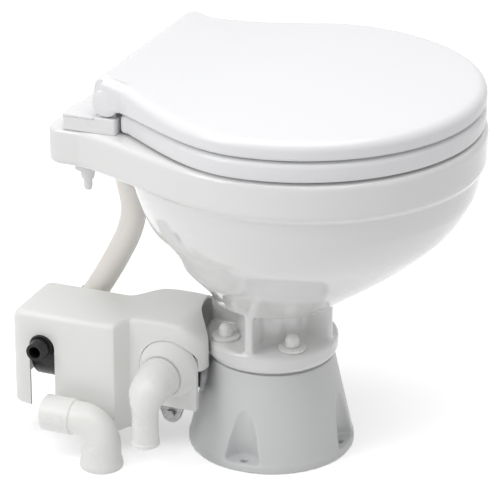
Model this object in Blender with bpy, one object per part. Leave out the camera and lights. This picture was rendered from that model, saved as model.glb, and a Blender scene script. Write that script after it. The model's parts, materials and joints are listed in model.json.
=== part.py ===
"""Electric marine toilet: china bowl on a moulded base, hinged seat and lid, macerator pump unit under a cover.

Metres, +Z up. The origin is on the floor under the middle of the base. The front of the bowl looks along -Y,
the pump unit stands behind it and to its left (-X, +Y).
"""
import math

import bmesh
import bpy
from mathutils import Matrix, Vector

# Clearances
GAP = 0.0003
PIN_CLEARANCE = 0.0002
OVERRUN = 0.002

# Smoothness of round shapes
ROUND_STEPS = 16
SMALL_ROUND_STEPS = 8
RIM_ARC_STEPS = 20
RIM_SIDE_STEPS = 4
CORNER_STEPS = 3
BOWL_STEPS = 28
NECK_STEPS = 24
BEND_STEPS = 6
ELBOW_SIDES = 14
COVER_STATIONS = 14

# Base: conical pedestal with a plinth, four floor bolt pockets and a waste outlet boss
BASE_HEIGHT = 0.0928
PLINTH_RADIUS = 0.079
PLINTH_HEIGHT = 0.008
CONE_FOOT_RADIUS = 0.078
CONE_TOP_RADIUS = 0.0592
SUMP_FLOOR = 0.014
SUMP_FOOT_RADIUS = 0.053
SUMP_SHOULDER_RADIUS = 0.040
SUMP_MOUTH_RADIUS = 0.030
BASE_TOP_THICKNESS = 0.014
FOOT_POCKET_OFFSET = 0.0775
FOOT_POCKET_RADIUS = 0.0175
FOOT_POCKET_TOP_RADIUS = 0.009
FOOT_POCKET_DROP = 0.0148
FOOT_POCKET_TOP = BASE_HEIGHT - FOOT_POCKET_DROP
FOOT_HOLE_OFFSET = 0.0695
FOOT_HOLE_RADIUS = 0.0035
OUTLET_DROP = 0.0228
OUTLET_HEIGHT = BASE_HEIGHT - OUTLET_DROP
OUTLET_ANGLE = math.radians(116.6)
OUTLET_REACH = 0.069
OUTLET_BOSS_RADIUS = 0.015
OUTLET_BORE_RADIUS = 0.010

# Gasket between base and bowl flange
BASE_GASKET_THICKNESS = 0.0011
BASE_GASKET_RADIUS = 0.0586

# Bowl: flange, ribbed neck, china shell and rim
FLANGE_RADIUS = 0.0630
FLANGE_THICKNESS = 0.0187
FLANGE_FOOT_DRAW = 0.0028
FLANGE_EDGE = 0.0025
NECK_RADIUS = 0.0336
NECK_HEIGHT = 0.037
NECK_FILLET = 0.011
RIB_REACH = 0.0600
RIB_THICKNESS = 0.008
WASTE_PASSAGE_RADIUS = 0.026
BOWL_RADIUS = 0.166
BOWL_CENTRE = 0.031
BOWL_WALL = 0.0105
BOWL_HEIGHT = 0.1433
RIM_HEIGHT = 0.0355
RIM_EDGE = 0.0045
HINGE_SETBACK = 0.017
HINGE_AXIS_Y = BOWL_RADIUS - BOWL_CENTRE - HINGE_SETBACK
RIM_SIDE_PULL = 0.066
RIM_SIDE_INSET = 0.044
RIM_SIDE_EASE_X = BOWL_RADIUS - RIM_SIDE_INSET
RIM_SIDE_AHEAD = 0.028
RIM_SIDE_EASE_Y = HINGE_AXIS_Y - RIM_SIDE_AHEAD
SHELF_HALF_WIDTH = 0.108
SHELF_SHOULDER = 0.026
SHELF_START = HINGE_AXIS_Y + SHELF_SHOULDER
SHELF_OVERHANG = 0.060
SHELF_REAR = HINGE_AXIS_Y + SHELF_OVERHANG
SHELF_CORNER = 0.014
RIM_WIDTH_AT_SIDE = 0.048
MOUTH_HALF_WIDTH = BOWL_RADIUS - RIM_WIDTH_AT_SIDE
RIM_WIDTH_AT_FRONT = 0.036
MOUTH_HALF_LENGTH = BOWL_RADIUS - RIM_WIDTH_AT_FRONT
MOUTH_CENTRE = 0.034
# Bowl outside: share of the bowl's height, share of its radius, share of its centre's set-forward
BOWL_STATION_SHARES = (
    (0.000, 0.349, 0.06),
    (0.040, 0.380, 0.19),
    (0.090, 0.425, 0.31),
    (0.175, 0.508, 0.43),
    (0.285, 0.614, 0.57),
    (0.425, 0.724, 0.79),
    (0.600, 0.852, 0.94),
    (0.790, 0.932, 1.04),
    (0.930, 0.962, 1.05),
    (1.060, 0.978, 1.05),
)
# Bowl inside: share of the bowl's height, share of its inner radius, share of the set-forward
CAVITY_STATION_SHARES = (
    (0.060, 0.190, 0.10),
    (0.120, 0.330, 0.33),
    (0.200, 0.440, 0.43),
    (0.310, 0.575, 0.57),
    (0.450, 0.700, 0.79),
    (0.620, 0.835, 0.94),
    (0.800, 0.915, 1.04),
    (0.960, 0.950, 1.05),
    (1.080, 0.950, 1.05),
)

# Bolts that hold the flange to the base
FLANGE_BOLT_CIRCLE = 0.0470
FLANGE_BOLT_RADIUS = 0.0035
FLANGE_BOLT_DEPTH = 0.010
BOLT_HEAD_RADIUS = 0.0047
BOLT_HEAD_HEIGHT = 0.004
FLANGE_WASHER_RADIUS = 0.0130
FLANGE_WASHER_THICKNESS = 0.0024
CAP_RADIUS = 0.0066
CAP_HEIGHT = 0.0115

# Hinge: brackets on the shelf, pins, bolts and nuts
HINGE_AXIS_RISE = 0.029
HINGE_OFFSET = 0.088
HINGE_PIN_RADIUS = 0.003
HINGE_PIN_INNER = 0.0768
HINGE_PIN_OUTER = 0.1050
BRACKET_LIFT = 0.0003
BRACKET_HEIGHT = 0.0147
BRACKET_INNER = 0.073
BRACKET_OUTER = 0.107
BRACKET_AHEAD = 0.010
BRACKET_FRONT = HINGE_AXIS_Y - BRACKET_AHEAD
BRACKET_BEHIND = 0.042
BRACKET_REAR = HINGE_AXIS_Y + BRACKET_BEHIND
BRACKET_EDGE = 0.0025
HINGE_BOLT_BEHIND = 0.027
BRACKET_BOLT_Y = HINGE_AXIS_Y + HINGE_BOLT_BEHIND
BRACKET_CAP_BEHIND = 0.0105
BRACKET_CAP_FRONT = HINGE_AXIS_Y + BRACKET_CAP_BEHIND
BRACKET_CAP_THICKNESS = 0.0026
KNUCKLE_RADIUS = 0.0075
KNUCKLE_INNER = 0.0912
KNUCKLE_OUTER = 0.1008
SEAT_KNUCKLE_INNER = 0.0802
SEAT_KNUCKLE_OUTER = 0.0900
HINGE_BOLT_RADIUS = 0.004
HINGE_BOLT_HEAD_RADIUS = 0.0080
HINGE_BOLT_HEAD_HEIGHT = 0.0042
HINGE_BOLT_HOLE_RADIUS = 0.0048
HINGE_BOLT_END_DROP = 0.027
HINGE_NUT_HEIGHT = 0.0155
HINGE_NUT_RADIUS = 0.0115
HINGE_NUT_WAIST_RADIUS = 0.0058

# Seat ring
SEAT_LIFT = 0.002
SEAT_THICKNESS = 0.018
SEAT_EDGE = 0.006
SEAT_OVERHANG = 0.0005
SEAT_RADIUS = BOWL_RADIUS + SEAT_OVERHANG
SEAT_CENTRE = 0.028
SEAT_SIDE_PULL = 0.045
SEAT_SIDE_INSET = 0.0345
SEAT_EASE_X = SEAT_RADIUS - SEAT_SIDE_INSET
SEAT_SIDE_AHEAD = 0.060
SEAT_EASE_Y = HINGE_AXIS_Y - SEAT_SIDE_AHEAD
SEAT_REAR_HALF_WIDTH = 0.104
SEAT_SHOULDER_AHEAD = 0.020
SEAT_SHOULDER_Y = HINGE_AXIS_Y - SEAT_SHOULDER_AHEAD
SEAT_REAR_AHEAD = 0.0115
SEAT_REAR = HINGE_AXIS_Y - SEAT_REAR_AHEAD
SEAT_CORNER = 0.008
SEAT_RING_AT_SIDE = 0.0635
SEAT_HOLE_HALF_WIDTH = SEAT_RADIUS - SEAT_RING_AT_SIDE
SEAT_RING_AT_FRONT = 0.0445
SEAT_HOLE_HALF_LENGTH = SEAT_RADIUS - SEAT_RING_AT_FRONT
SEAT_HOLE_CENTRE = 0.034
SEAT_LUG_AHEAD = 0.018
SEAT_LUG_ROOT_Y = HINGE_AXIS_Y - SEAT_LUG_AHEAD
SEAT_LUG_ROOT_RISE = 0.009
SEAT_LUG_ROOT_TOP = 0.0140
SEAT_BUMPER_RADIUS = 0.009
SEAT_BUMPER_INSET = 0.027
SEAT_BUMPER_CIRCLE = BOWL_RADIUS - SEAT_BUMPER_INSET

# Lid
LID_LIFT = 0.002
LID_THICKNESS = 0.0165
LID_EDGE = 0.009
LID_FOOT_EDGE = 0.004
LID_CROWN = 0.0015
LID_RECESS = 0.0080
LID_WALL = 0.020
LID_REAR_HALF_WIDTH = 0.107
LID_SHOULDER_AHEAD = 0.014
LID_SHOULDER_Y = HINGE_AXIS_Y - LID_SHOULDER_AHEAD
LID_REAR_BEHIND = 0.011
LID_REAR = HINGE_AXIS_Y + LID_REAR_BEHIND
LID_CORNER = 0.014
LID_REAR_RISE = 0.0145
LID_RISE_AHEAD = 0.108
LID_RISE_START = HINGE_AXIS_Y - LID_RISE_AHEAD
LID_RISE_BEHIND = 0.002
LID_RISE_END = HINGE_AXIS_Y + LID_RISE_BEHIND
LID_BARREL_RADIUS = 0.013
LID_BARREL_EDGE = 0.003
LID_CHEEK_BEHIND = 0.0045
LID_CHEEK_RISE = 0.0170
LID_CHEEK_AHEAD = 0.012
LID_CHEEK_FRONT_RISE = 0.0140
LID_CHEEK_RADIUS = 0.0055
LID_SLOT_INNER = 0.0790
LID_SLOT_OUTER = 0.1022
LID_SLOT_RADIUS = 0.0088
LID_SLOT_REACH = 0.018
LID_BUMPER_RADIUS = 0.006
LID_BUMPER_INSET = 0.0135
LID_BUMPER_CIRCLE = SEAT_RADIUS - LID_BUMPER_INSET

# Pump unit: everything on one shaft along Y
PUMP_X = -0.0515
PUMP_Z = 0.0872
PUMP_REAR = 0.2095
PUMP_FRONT = 0.1775
PUMP_RADIUS = 0.032
PUMP_CHAMBER_RADIUS = 0.024
PUMP_WALL = 0.004
END_PLATE_THICKNESS = 0.003
PORT_Y = 0.1975
PORT_Z = 0.0990
PORT_NECK_RADIUS = 0.0115
PORT_NECK_REACH = -0.0920
PORT_BARB_RADIUS = 0.0098
PORT_BARB_START = -0.0955
PORT_TUBE_RADIUS = 0.0086
PORT_MOUTH = -0.1045
PORT_BORE_RADIUS = 0.0058
OUTLET_ELBOW_X = 0.0008
OUTLET_ELBOW_RADIUS = 0.0080
MOTOR_RADIUS = 0.031
MOTOR_WALL = 0.0025
MOTOR_FRONT = 0.1265
MOTOR_REAR_WALL = 0.006
MOTOR_FLANGE_THICKNESS = 0.005
ROTOR_RADIUS = 0.021
ROTOR_LENGTH = 0.032
ROTOR_SLOTS = 10
ROTOR_SLOT_SHARE = 0.80
ROTOR_HUB_SHARE = 0.70
SHAFT_RADIUS = 0.004
SHAFT_FRONT = 0.0700
SHAFT_REAR = 0.2040
BEARING_RADIUS = 0.010
BEARING_WIDTH = 0.0044
SEAL_RADIUS = 0.0065
MACERATOR_FRONT = 0.0640
MACERATOR_RADIUS = 0.030
MACERATOR_WALL = 0.004
MACERATOR_CHAMBER_RADIUS = 0.020
MACERATOR_CHAMBER_LENGTH = 0.0255
MACERATOR_NECK_RADIUS = 0.0118
MACERATOR_STUB_RADIUS = 0.014
MACERATOR_STUB_LENGTH = 0.026
RINSE_VANES = 6
RINSE_VANE_SHARE = 0.45
RINSE_HUB_SHARE = 0.45
RINSE_IMPELLER_RADIUS = 0.0225
RINSE_IMPELLER_WIDTH = 0.0150
DISCHARGE_VANES = 5
DISCHARGE_VANE_SHARE = 0.42
DISCHARGE_HUB_SHARE = 0.60
DISCHARGE_IMPELLER_RADIUS = 0.0112
DISCHARGE_IMPELLER_WIDTH = 0.012
CHOPPER_REACH = 0.0098
CHOPPER_HALF_WIDTH = 0.0064
CHOPPER_THICKNESS = 0.003

# Discharge: plate on the macerator, moulded boss and swivelling elbow, all on one axis along X
DISCHARGE_Y = 0.0755
DISCHARGE_Z = 0.0896
DISCHARGE_SEAT_X = -0.0640
DISCHARGE_GASKET_THICKNESS = 0.0011
PLATE_THICKNESS = 0.0016
PLATE_RADIUS = 0.0265
PLATE_BORE_RADIUS = 0.0125
EAR_RADIUS = 0.0095
EAR_Z = 0.0415
EAR_Y = 0.0752
PLATE_BOLT_RADIUS = 0.0045
PLATE_BOLT_HEAD = 0.0035
PLATE_BOLT_SHANK = 0.0021
PLATE_BOLT_SPREAD = 0.017
BOSS_RADIUS = 0.0285
BOSS_NOSE_RADIUS = 0.0212
BOSS_NOSE_X = -0.0885
BOSS_FOOT_Z = 0.0515
BOSS_SHOULDER_X = -0.0735
ELBOW_COLLAR_RADIUS = 0.0195
ELBOW_MID_RADIUS = 0.0172
ELBOW_LEG_RADIUS = 0.0124
ELBOW_BEAD_RADIUS = 0.0133
ELBOW_BORE_RADIUS = 0.0098
ELBOW_LEG_X = -0.1250
ELBOW_BEND_RADIUS = 0.018
ELBOW_END_Z = 0.0370
ELBOW_SEAL_THICKNESS = 0.0009
ELBOW_SEAL_RADIUS = 0.0188

# Spare elbow for a wider hose, supplied loose
SPARE_X = -0.1135
SPARE_Y = 0.1264
SPARE_RADIUS = 0.0187
SPARE_ARM_RADIUS = 0.0157
SPARE_WALL = 0.0026
SPARE_LIP_RADIUS = 0.0207
SPARE_LIP_HEIGHT = 0.010
SPARE_ARM_Z = 0.0445
SPARE_BEND_RADIUS = 0.022
SPARE_SOCKET_START = 0.1526
SPARE_SOCKET_RADIUS = 0.0171
SPARE_SOCKET_END = 0.1835

# Cover over the pump unit
COVER_WALL = 0.0025
COVER_TOP = 0.1325
COVER_NEAR_X = -0.0890
COVER_FAR_X = -0.0145
COVER_REAR = 0.2305
COVER_REAR_CORNER = 0.012
COVER_EDGE = 0.0065
COVER_DRAFT_SHARE = 0.012
COVER_FOOT_Z = 0.008
COVER_BOTTOM_REAR = 0.0390
COVER_BOTTOM_MIDDLE = 0.0235
COVER_BOTTOM_FRONT = 0.0880
COVER_FRONT = 0.0440
COVER_FRONT_CORNER = 0.022
COVER_WAIST_Y = 0.1245
COVER_TURN_RUN = 0.012
COVER_WAIST_RUN = 0.024
COVER_NOSE_NEAR_X = -0.0725
COVER_HUMP_Y = 0.0860
COVER_HUMP_RISE = 0.0045
COVER_HUMP_FAR_X = 0.0200
COVER_HUMP_EDGE = 0.024
COVER_BASE_CLEARANCE = 0.003
COVER_SLOT_RADIUS = 0.0130
COVER_SLOT_Z = 0.0977
COVER_ARCH_RADIUS = 0.0310
COVER_ARCH_Z = 0.0220
COVER_POST_RADIUS = 0.005

# Rinse hose from the pump to the inlet under the shelf, held at both ends
HOSE_RADIUS = 0.0122
HOSE_STEPS = 18
HOSE_SIDES = 10
HOSE_LEAN = (0.0, -0.539, 0.842)
HOSE_LEAN_START = 0.010
HOSE_LEAN_GRIP = 0.015
INLET_BEHIND = 0.032
INLET_Y = HINGE_AXIS_Y + INLET_BEHIND
# Route: share of the outlet's X, share of the way in Y from the inlet back to the port, share of the height to the shelf
HOSE_ROUTE_SHARES = (
    (1.0, 0.583, 0.1604),
    (1.0, 0.368, 0.2488),
    (1.0, 0.120, 0.3604),
    (0.8, -0.103, 0.4802),
    (0.5, -0.194, 0.5995),
    (0.0, -0.116, 0.7147),
    (0.0, 0.000, 0.8278),
    (0.0, 0.000, 0.8895),
)
INLET_SPIGOT_RADIUS = 0.0080
INLET_SPIGOT_LENGTH = 0.028
CLAMP_RADIUS = 0.0140
CLAMP_WIDTH = 0.008
CLAMP_HOUSING = 0.006

# Heights that follow from the stack
GASKET_Z = BASE_HEIGHT + GAP
FLANGE_Z = GASKET_Z + BASE_GASKET_THICKNESS + GAP
FLANGE_TOP = FLANGE_Z + FLANGE_THICKNESS
BOWL_Z = FLANGE_TOP + NECK_HEIGHT
SHELF_Z = BOWL_Z + BOWL_HEIGHT
RIM_TOP = SHELF_Z + RIM_HEIGHT
SEAT_Z = RIM_TOP + SEAT_LIFT
SEAT_TOP = SEAT_Z + SEAT_THICKNESS
LID_Z = SEAT_TOP + LID_LIFT
LID_TOP = LID_Z + LID_THICKNESS
HINGE_AXIS_Z = RIM_TOP + HINGE_AXIS_RISE
BRACKET_Z = RIM_TOP + BRACKET_LIFT
BRACKET_TOP = BRACKET_Z + BRACKET_HEIGHT
BOSS_SEAT_X = DISCHARGE_SEAT_X - DISCHARGE_GASKET_THICKNESS - PLATE_THICKNESS - 3.0 * GAP

HOSE_ROUTE = [
    (across * OUTLET_ELBOW_X, INLET_Y + back * (PORT_Y - INLET_Y), PORT_Z + rise * (SHELF_Z - PORT_Z))
    for across, back, rise in HOSE_ROUTE_SHARES
]

X_AXIS = Vector((1.0, 0.0, 0.0))
Y_AXIS = Vector((0.0, 1.0, 0.0))
Z_AXIS = Vector((0.0, 0.0, 1.0))

# Colours, roughness and metallic value of each material
FINISHES = {
    "china": ((0.80, 0.80, 0.80), 0.12, 0.0),
    "seat_white": ((0.88, 0.88, 0.89), 0.28, 0.0),
    "base_grey": ((0.55, 0.57, 0.60), 0.42, 0.0),
    "cover_white": ((0.80, 0.80, 0.78), 0.38, 0.0),
    "fitting_white": ((0.82, 0.82, 0.80), 0.35, 0.0),
    "hinge_white": ((0.82, 0.82, 0.83), 0.35, 0.0),
    "black_plastic": ((0.02, 0.02, 0.02), 0.30, 0.0),
    "rubber": ((0.03, 0.03, 0.03), 0.70, 0.0),
    "pale_rubber": ((0.70, 0.70, 0.68), 0.60, 0.0),
    "hose_white": ((0.80, 0.76, 0.72), 0.45, 0.0),
    "stainless": ((0.55, 0.55, 0.54), 0.30, 1.0),
    "motor_black": ((0.03, 0.03, 0.03), 0.45, 0.2),
    "rotor_steel": ((0.35, 0.34, 0.33), 0.50, 1.0),
}


def material(node, finish):
    """A Principled material of its own for one node."""
    colour, roughness, metallic = FINISHES[finish]
    made = bpy.data.materials.new(node)
    made.use_nodes = True
    shader = made.node_tree.nodes["Principled BSDF"]
    shader.inputs["Base Color"].default_value = (*colour, 1.0)
    shader.inputs["Roughness"].default_value = roughness
    shader.inputs["Metallic"].default_value = metallic
    return made


def axis_matrix(origin, direction):
    """A transform that takes +Z to the direction and the zero point to the origin."""
    turn = Vector(direction).to_track_quat("Z", "Y").to_matrix().to_4x4()
    return Matrix.Translation(Vector(origin)) @ turn


def mesh_object(name, work, finish=None, parent=None):
    """The closed mesh as an object: a node with its material, or a hidden cutter without one."""
    bmesh.ops.recalc_face_normals(work, faces=work.faces)
    if parent is not None:
        bmesh.ops.translate(work, vec=-parent.location, verts=work.verts)
    mesh = bpy.data.meshes.new(name)
    work.to_mesh(mesh)
    work.free()
    mesh.shade_smooth()
    mesh.set_sharp_from_angle(angle=math.radians(40.0))
    made = bpy.data.objects.new(name, mesh)
    bpy.context.scene.collection.objects.link(made)
    made.parent = parent
    if finish is None:
        made.hide_render = True
        made.display_type = "WIRE"
    else:
        mesh.materials.append(material(name, finish))
    return made


def combine(target, tool, operation):
    """One exact Boolean on the target."""
    step = target.modifiers.new(tool.name, "BOOLEAN")
    step.operation = operation
    step.solver = "EXACT"
    step.object = tool


def cut(target, *tools):
    for tool in tools:
        combine(target, tool, "DIFFERENCE")


def fuse(target, *tools):
    for tool in tools:
        combine(target, tool, "UNION")


def rings_mesh(rings, closed=False):
    """A skin over rings of equal count: closed in a loop, or capped at its first and last ring."""
    work = bmesh.new()
    rows = [[work.verts.new(point) for point in ring] for ring in rings]
    pairs = list(zip(rows, rows[1:]))
    if closed:
        pairs.append((rows[-1], rows[0]))
    for low, high in pairs:
        count = len(low)
        for i in range(count):
            j = (i + 1) % count
            work.faces.new((low[i], low[j], high[j], high[i]))
    if not closed:
        work.faces.new(rows[0][::-1])
        work.faces.new(rows[-1])
    return work


def circle(radius, height, steps, centre=(0.0, 0.0)):
    turn = math.tau / steps
    return [
        Vector((centre[0] + radius * math.cos(i * turn), centre[1] + radius * math.sin(i * turn), height))
        for i in range(steps)
    ]


def turned(profile, place=None, steps=ROUND_STEPS, closed=False):
    """A turned solid from (radius, height) points; a closed profile goes round a bore."""
    rings = [circle(radius, height, steps) for radius, height in profile]
    if place is not None:
        rings = [[place @ point for point in ring] for ring in rings]
    return rings_mesh(rings, closed)


def rod(start, direction, length, radius, steps=ROUND_STEPS):
    return turned([(radius, 0.0), (radius, length)], axis_matrix(start, direction), steps)


def block(low, high):
    """A box between two corners."""
    work = bmesh.new()
    bmesh.ops.create_cube(work, size=1.0)
    middle = [(a + b) / 2.0 for a, b in zip(low, high)]
    for vert in work.verts:
        vert.co = Vector([m + c * (b - a) for m, c, a, b in zip(middle, vert.co, low, high)])
    return work


def round_block(low, high, radius, vertical=0.0):
    """A box with its upper edges rounded and its vertical corners of a radius of their own."""
    work = block(low, high)
    corner = max(vertical, radius)
    upright = [edge for edge in work.edges if abs(edge.verts[0].co.z - edge.verts[1].co.z) > GAP]
    bmesh.ops.bevel(work, geom=upright, offset=corner, segments=CORNER_STEPS, affect="EDGES", profile=0.5)
    top = [
        edge
        for edge in work.edges
        if all(vert.co.z > high[2] - GAP for vert in edge.verts) and len(edge.link_faces) == 2
    ]
    bmesh.ops.bevel(work, geom=top, offset=radius, segments=2, affect="EDGES", profile=0.5)
    return work


def extruded(outline, start, end, axis):
    """A flat outline in the two other axes, pulled along the axis from start to end."""
    def at(pair, along):
        values = list(pair)
        values.insert(axis, along)
        return Vector(values)

    return rings_mesh([[at(pair, start) for pair in outline], [at(pair, end) for pair in outline]])


def bezier(a, b, c, d, t):
    """A point on a cubic curve."""
    u = 1.0 - t
    return a * u ** 3 + b * 3.0 * u * u * t + c * 3.0 * u * t * t + d * t ** 3


def rim_outline(radius, centre, pull, ease, shoulder, rear, corner):
    """Half circle in front, eased sides, straight rear edge with round corners, seen from above."""
    start = Vector((radius, -centre))
    controls = (start, start + Vector((0.0, pull)), Vector(ease), Vector(shoulder))
    half = []
    for i in range(RIM_ARC_STEPS // 2 + 1):
        angle = -math.pi / 2.0 + math.pi / 2.0 * i / (RIM_ARC_STEPS // 2)
        half.append(Vector((radius * math.cos(angle), -centre + radius * math.sin(angle))))
    for i in range(1, RIM_SIDE_STEPS + 1):
        half.append(bezier(*controls, i / RIM_SIDE_STEPS))
    middle = Vector((shoulder[0] - corner, rear - corner))
    for i in range(CORNER_STEPS + 1):
        angle = math.pi / 2.0 * i / CORNER_STEPS
        half.append(middle + corner * Vector((math.cos(angle), math.sin(angle))))
    other = [Vector((-point.x, point.y)) for point in reversed(half[1:])]
    return half + other


def inset(outline, distance):
    """The outline moved inwards by a distance, point by point."""
    count = len(outline)
    moved = []
    for i, point in enumerate(outline):
        along = outline[(i + 1) % count] - outline[i - 1]
        normal = Vector((-along.y, along.x)).normalized()
        moved.append(point + normal * distance)
    return moved


def drawn_in(outline, middle, distance):
    """The outline with each point moved straight towards a middle, for insets wider than its corners."""
    return [point + (middle - point).normalized() * distance for point in outline]


def lifted(outline, height):
    return [Vector((point.x, point.y, height)) for point in outline]


def frames(path):
    """Turning frames along a path: centre, side and up vectors for each point."""
    tangents = []
    for i, point in enumerate(path):
        before = path[max(i - 1, 0)]
        after = path[min(i + 1, len(path) - 1)]
        tangents.append((after - before).normalized())
    side = tangents[0].orthogonal().normalized()
    result = []
    for point, tangent in zip(path, tangents):
        side = (side - tangent * side.dot(tangent)).normalized()
        result.append((point, side, tangent.cross(side)))
    return result


def pipe(path, radii, bores, sides=ROUND_STEPS):
    """A pipe along a path, with an outer and an inner radius at each point."""
    def ring(frame, radius):
        centre, side, up = frame
        turn = math.tau / sides
        return [centre + side * radius * math.cos(i * turn) + up * radius * math.sin(i * turn)
                for i in range(sides)]

    places = frames(path)
    outer = [ring(place, radius) for place, radius in zip(places, radii)]
    inner = [ring(place, radius) for place, radius in zip(places, bores)]
    return rings_mesh(outer + inner[::-1], closed=True)


def smooth_route(points, steps):
    """A smooth curve through hand chosen points."""
    marks = [Vector(point) for point in points]
    marks = [marks[0] * 2.0 - marks[1], *marks, marks[-1] * 2.0 - marks[-2]]
    spans = len(marks) - 3
    route = []
    for k in range(steps + 1):
        place = spans * k / steps
        i = min(int(place), spans - 1)
        t = place - i
        a, b, c, d = marks[i:i + 4]
        route.append(
            0.5 * (2.0 * b + (c - a) * t + (2.0 * a - 5.0 * b + 4.0 * c - d) * t ** 2
                   + (3.0 * b - a - 3.0 * c + d) * t ** 3)
        )
    return route


def empty(name, place):
    made = bpy.data.objects.new(name, None)
    bpy.context.scene.collection.objects.link(made)
    made.location = place
    return made


def clear_scene():
    for thing in list(bpy.data.objects):
        bpy.data.objects.remove(thing, do_unlink=True)


def base():
    """The pedestal: plinth and cone, hollow sump, foot bolt pockets and the waste outlet boss."""
    body = mesh_object("base", turned([
        (PLINTH_RADIUS, 0.0),
        (PLINTH_RADIUS, PLINTH_HEIGHT - 3.0 * GAP),
        (CONE_FOOT_RADIUS, PLINTH_HEIGHT),
        (CONE_TOP_RADIUS, BASE_HEIGHT),
    ], steps=BOWL_STEPS), "base_grey")
    way_out = Vector((math.cos(OUTLET_ANGLE), math.sin(OUTLET_ANGLE), 0.0))
    start = way_out * SUMP_SHOULDER_RADIUS + Z_AXIS * OUTLET_HEIGHT
    reach = OUTLET_REACH - SUMP_SHOULDER_RADIUS
    fuse(body, mesh_object("outlet_boss_form", rod(start, way_out, reach, OUTLET_BOSS_RADIUS)))
    shoulder = BASE_HEIGHT - BASE_TOP_THICKNESS
    cut(body, mesh_object("sump_form", turned([
        (SUMP_FOOT_RADIUS, SUMP_FLOOR),
        (SUMP_SHOULDER_RADIUS + OVERRUN, shoulder),
        (SUMP_MOUTH_RADIUS, shoulder + OVERRUN),
        (SUMP_MOUTH_RADIUS, BASE_HEIGHT + OVERRUN),
    ])))
    bore_start = start - way_out * OVERRUN * 4.0
    cut(body, mesh_object("outlet_bore_form", rod(bore_start, way_out, reach * 2.0, OUTLET_BORE_RADIUS)))
    for side, turn in enumerate((0.5, 1.0, 1.5, 2.0)):
        way = Vector((math.cos(turn * math.pi), math.sin(turn * math.pi), 0.0))
        name = f"foot_{side}"
        pocket = [(FOOT_POCKET_RADIUS, PLINTH_HEIGHT), (FOOT_POCKET_TOP_RADIUS, FOOT_POCKET_TOP)]
        cut(body, mesh_object(name + "_pocket", turned(pocket, Matrix.Translation(way * FOOT_POCKET_OFFSET))))
        low = way * FOOT_HOLE_OFFSET - Z_AXIS * OVERRUN
        height = PLINTH_HEIGHT + 2.0 * OVERRUN
        cut(body, mesh_object(name + "_hole", rod(low, Z_AXIS, height, FOOT_HOLE_RADIUS, SMALL_ROUND_STEPS)))
    for place in flange_bolt_places():
        depth = FLANGE_BOLT_DEPTH + 2.0 * GAP
        low = place + Z_AXIS * (BASE_HEIGHT - depth)
        hole = rod(low, Z_AXIS, depth + OVERRUN, FLANGE_BOLT_RADIUS + GAP, SMALL_ROUND_STEPS)
        cut(body, mesh_object("flange_bolt_hole", hole))


def flange_bolt_places():
    quarter = math.pi / 2.0
    return [
        FLANGE_BOLT_CIRCLE * Vector((math.cos(quarter * (i + 0.5)), math.sin(quarter * (i + 0.5)), 0.0))
        for i in range(4)
    ]


def base_gasket():
    ring = mesh_object("base_gasket", turned([
        (SUMP_MOUTH_RADIUS, GASKET_Z),
        (BASE_GASKET_RADIUS, GASKET_Z),
        (BASE_GASKET_RADIUS, GASKET_Z + BASE_GASKET_THICKNESS),
        (SUMP_MOUTH_RADIUS, GASKET_Z + BASE_GASKET_THICKNESS),
    ], closed=True, steps=NECK_STEPS), "rubber")
    for place in flange_bolt_places():
        low = place + Z_AXIS * (GASKET_Z - OVERRUN)
        hole = rod(low, Z_AXIS, BASE_GASKET_THICKNESS + 2.0 * OVERRUN, FLANGE_BOLT_RADIUS + GAP, SMALL_ROUND_STEPS)
        cut(ring, mesh_object("gasket_bolt_hole", hole))


def bowl_outline():
    return rim_outline(
        BOWL_RADIUS, BOWL_CENTRE, RIM_SIDE_PULL, (RIM_SIDE_EASE_X, RIM_SIDE_EASE_Y),
        (SHELF_HALF_WIDTH, SHELF_START), SHELF_REAR, SHELF_CORNER,
    )


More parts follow.
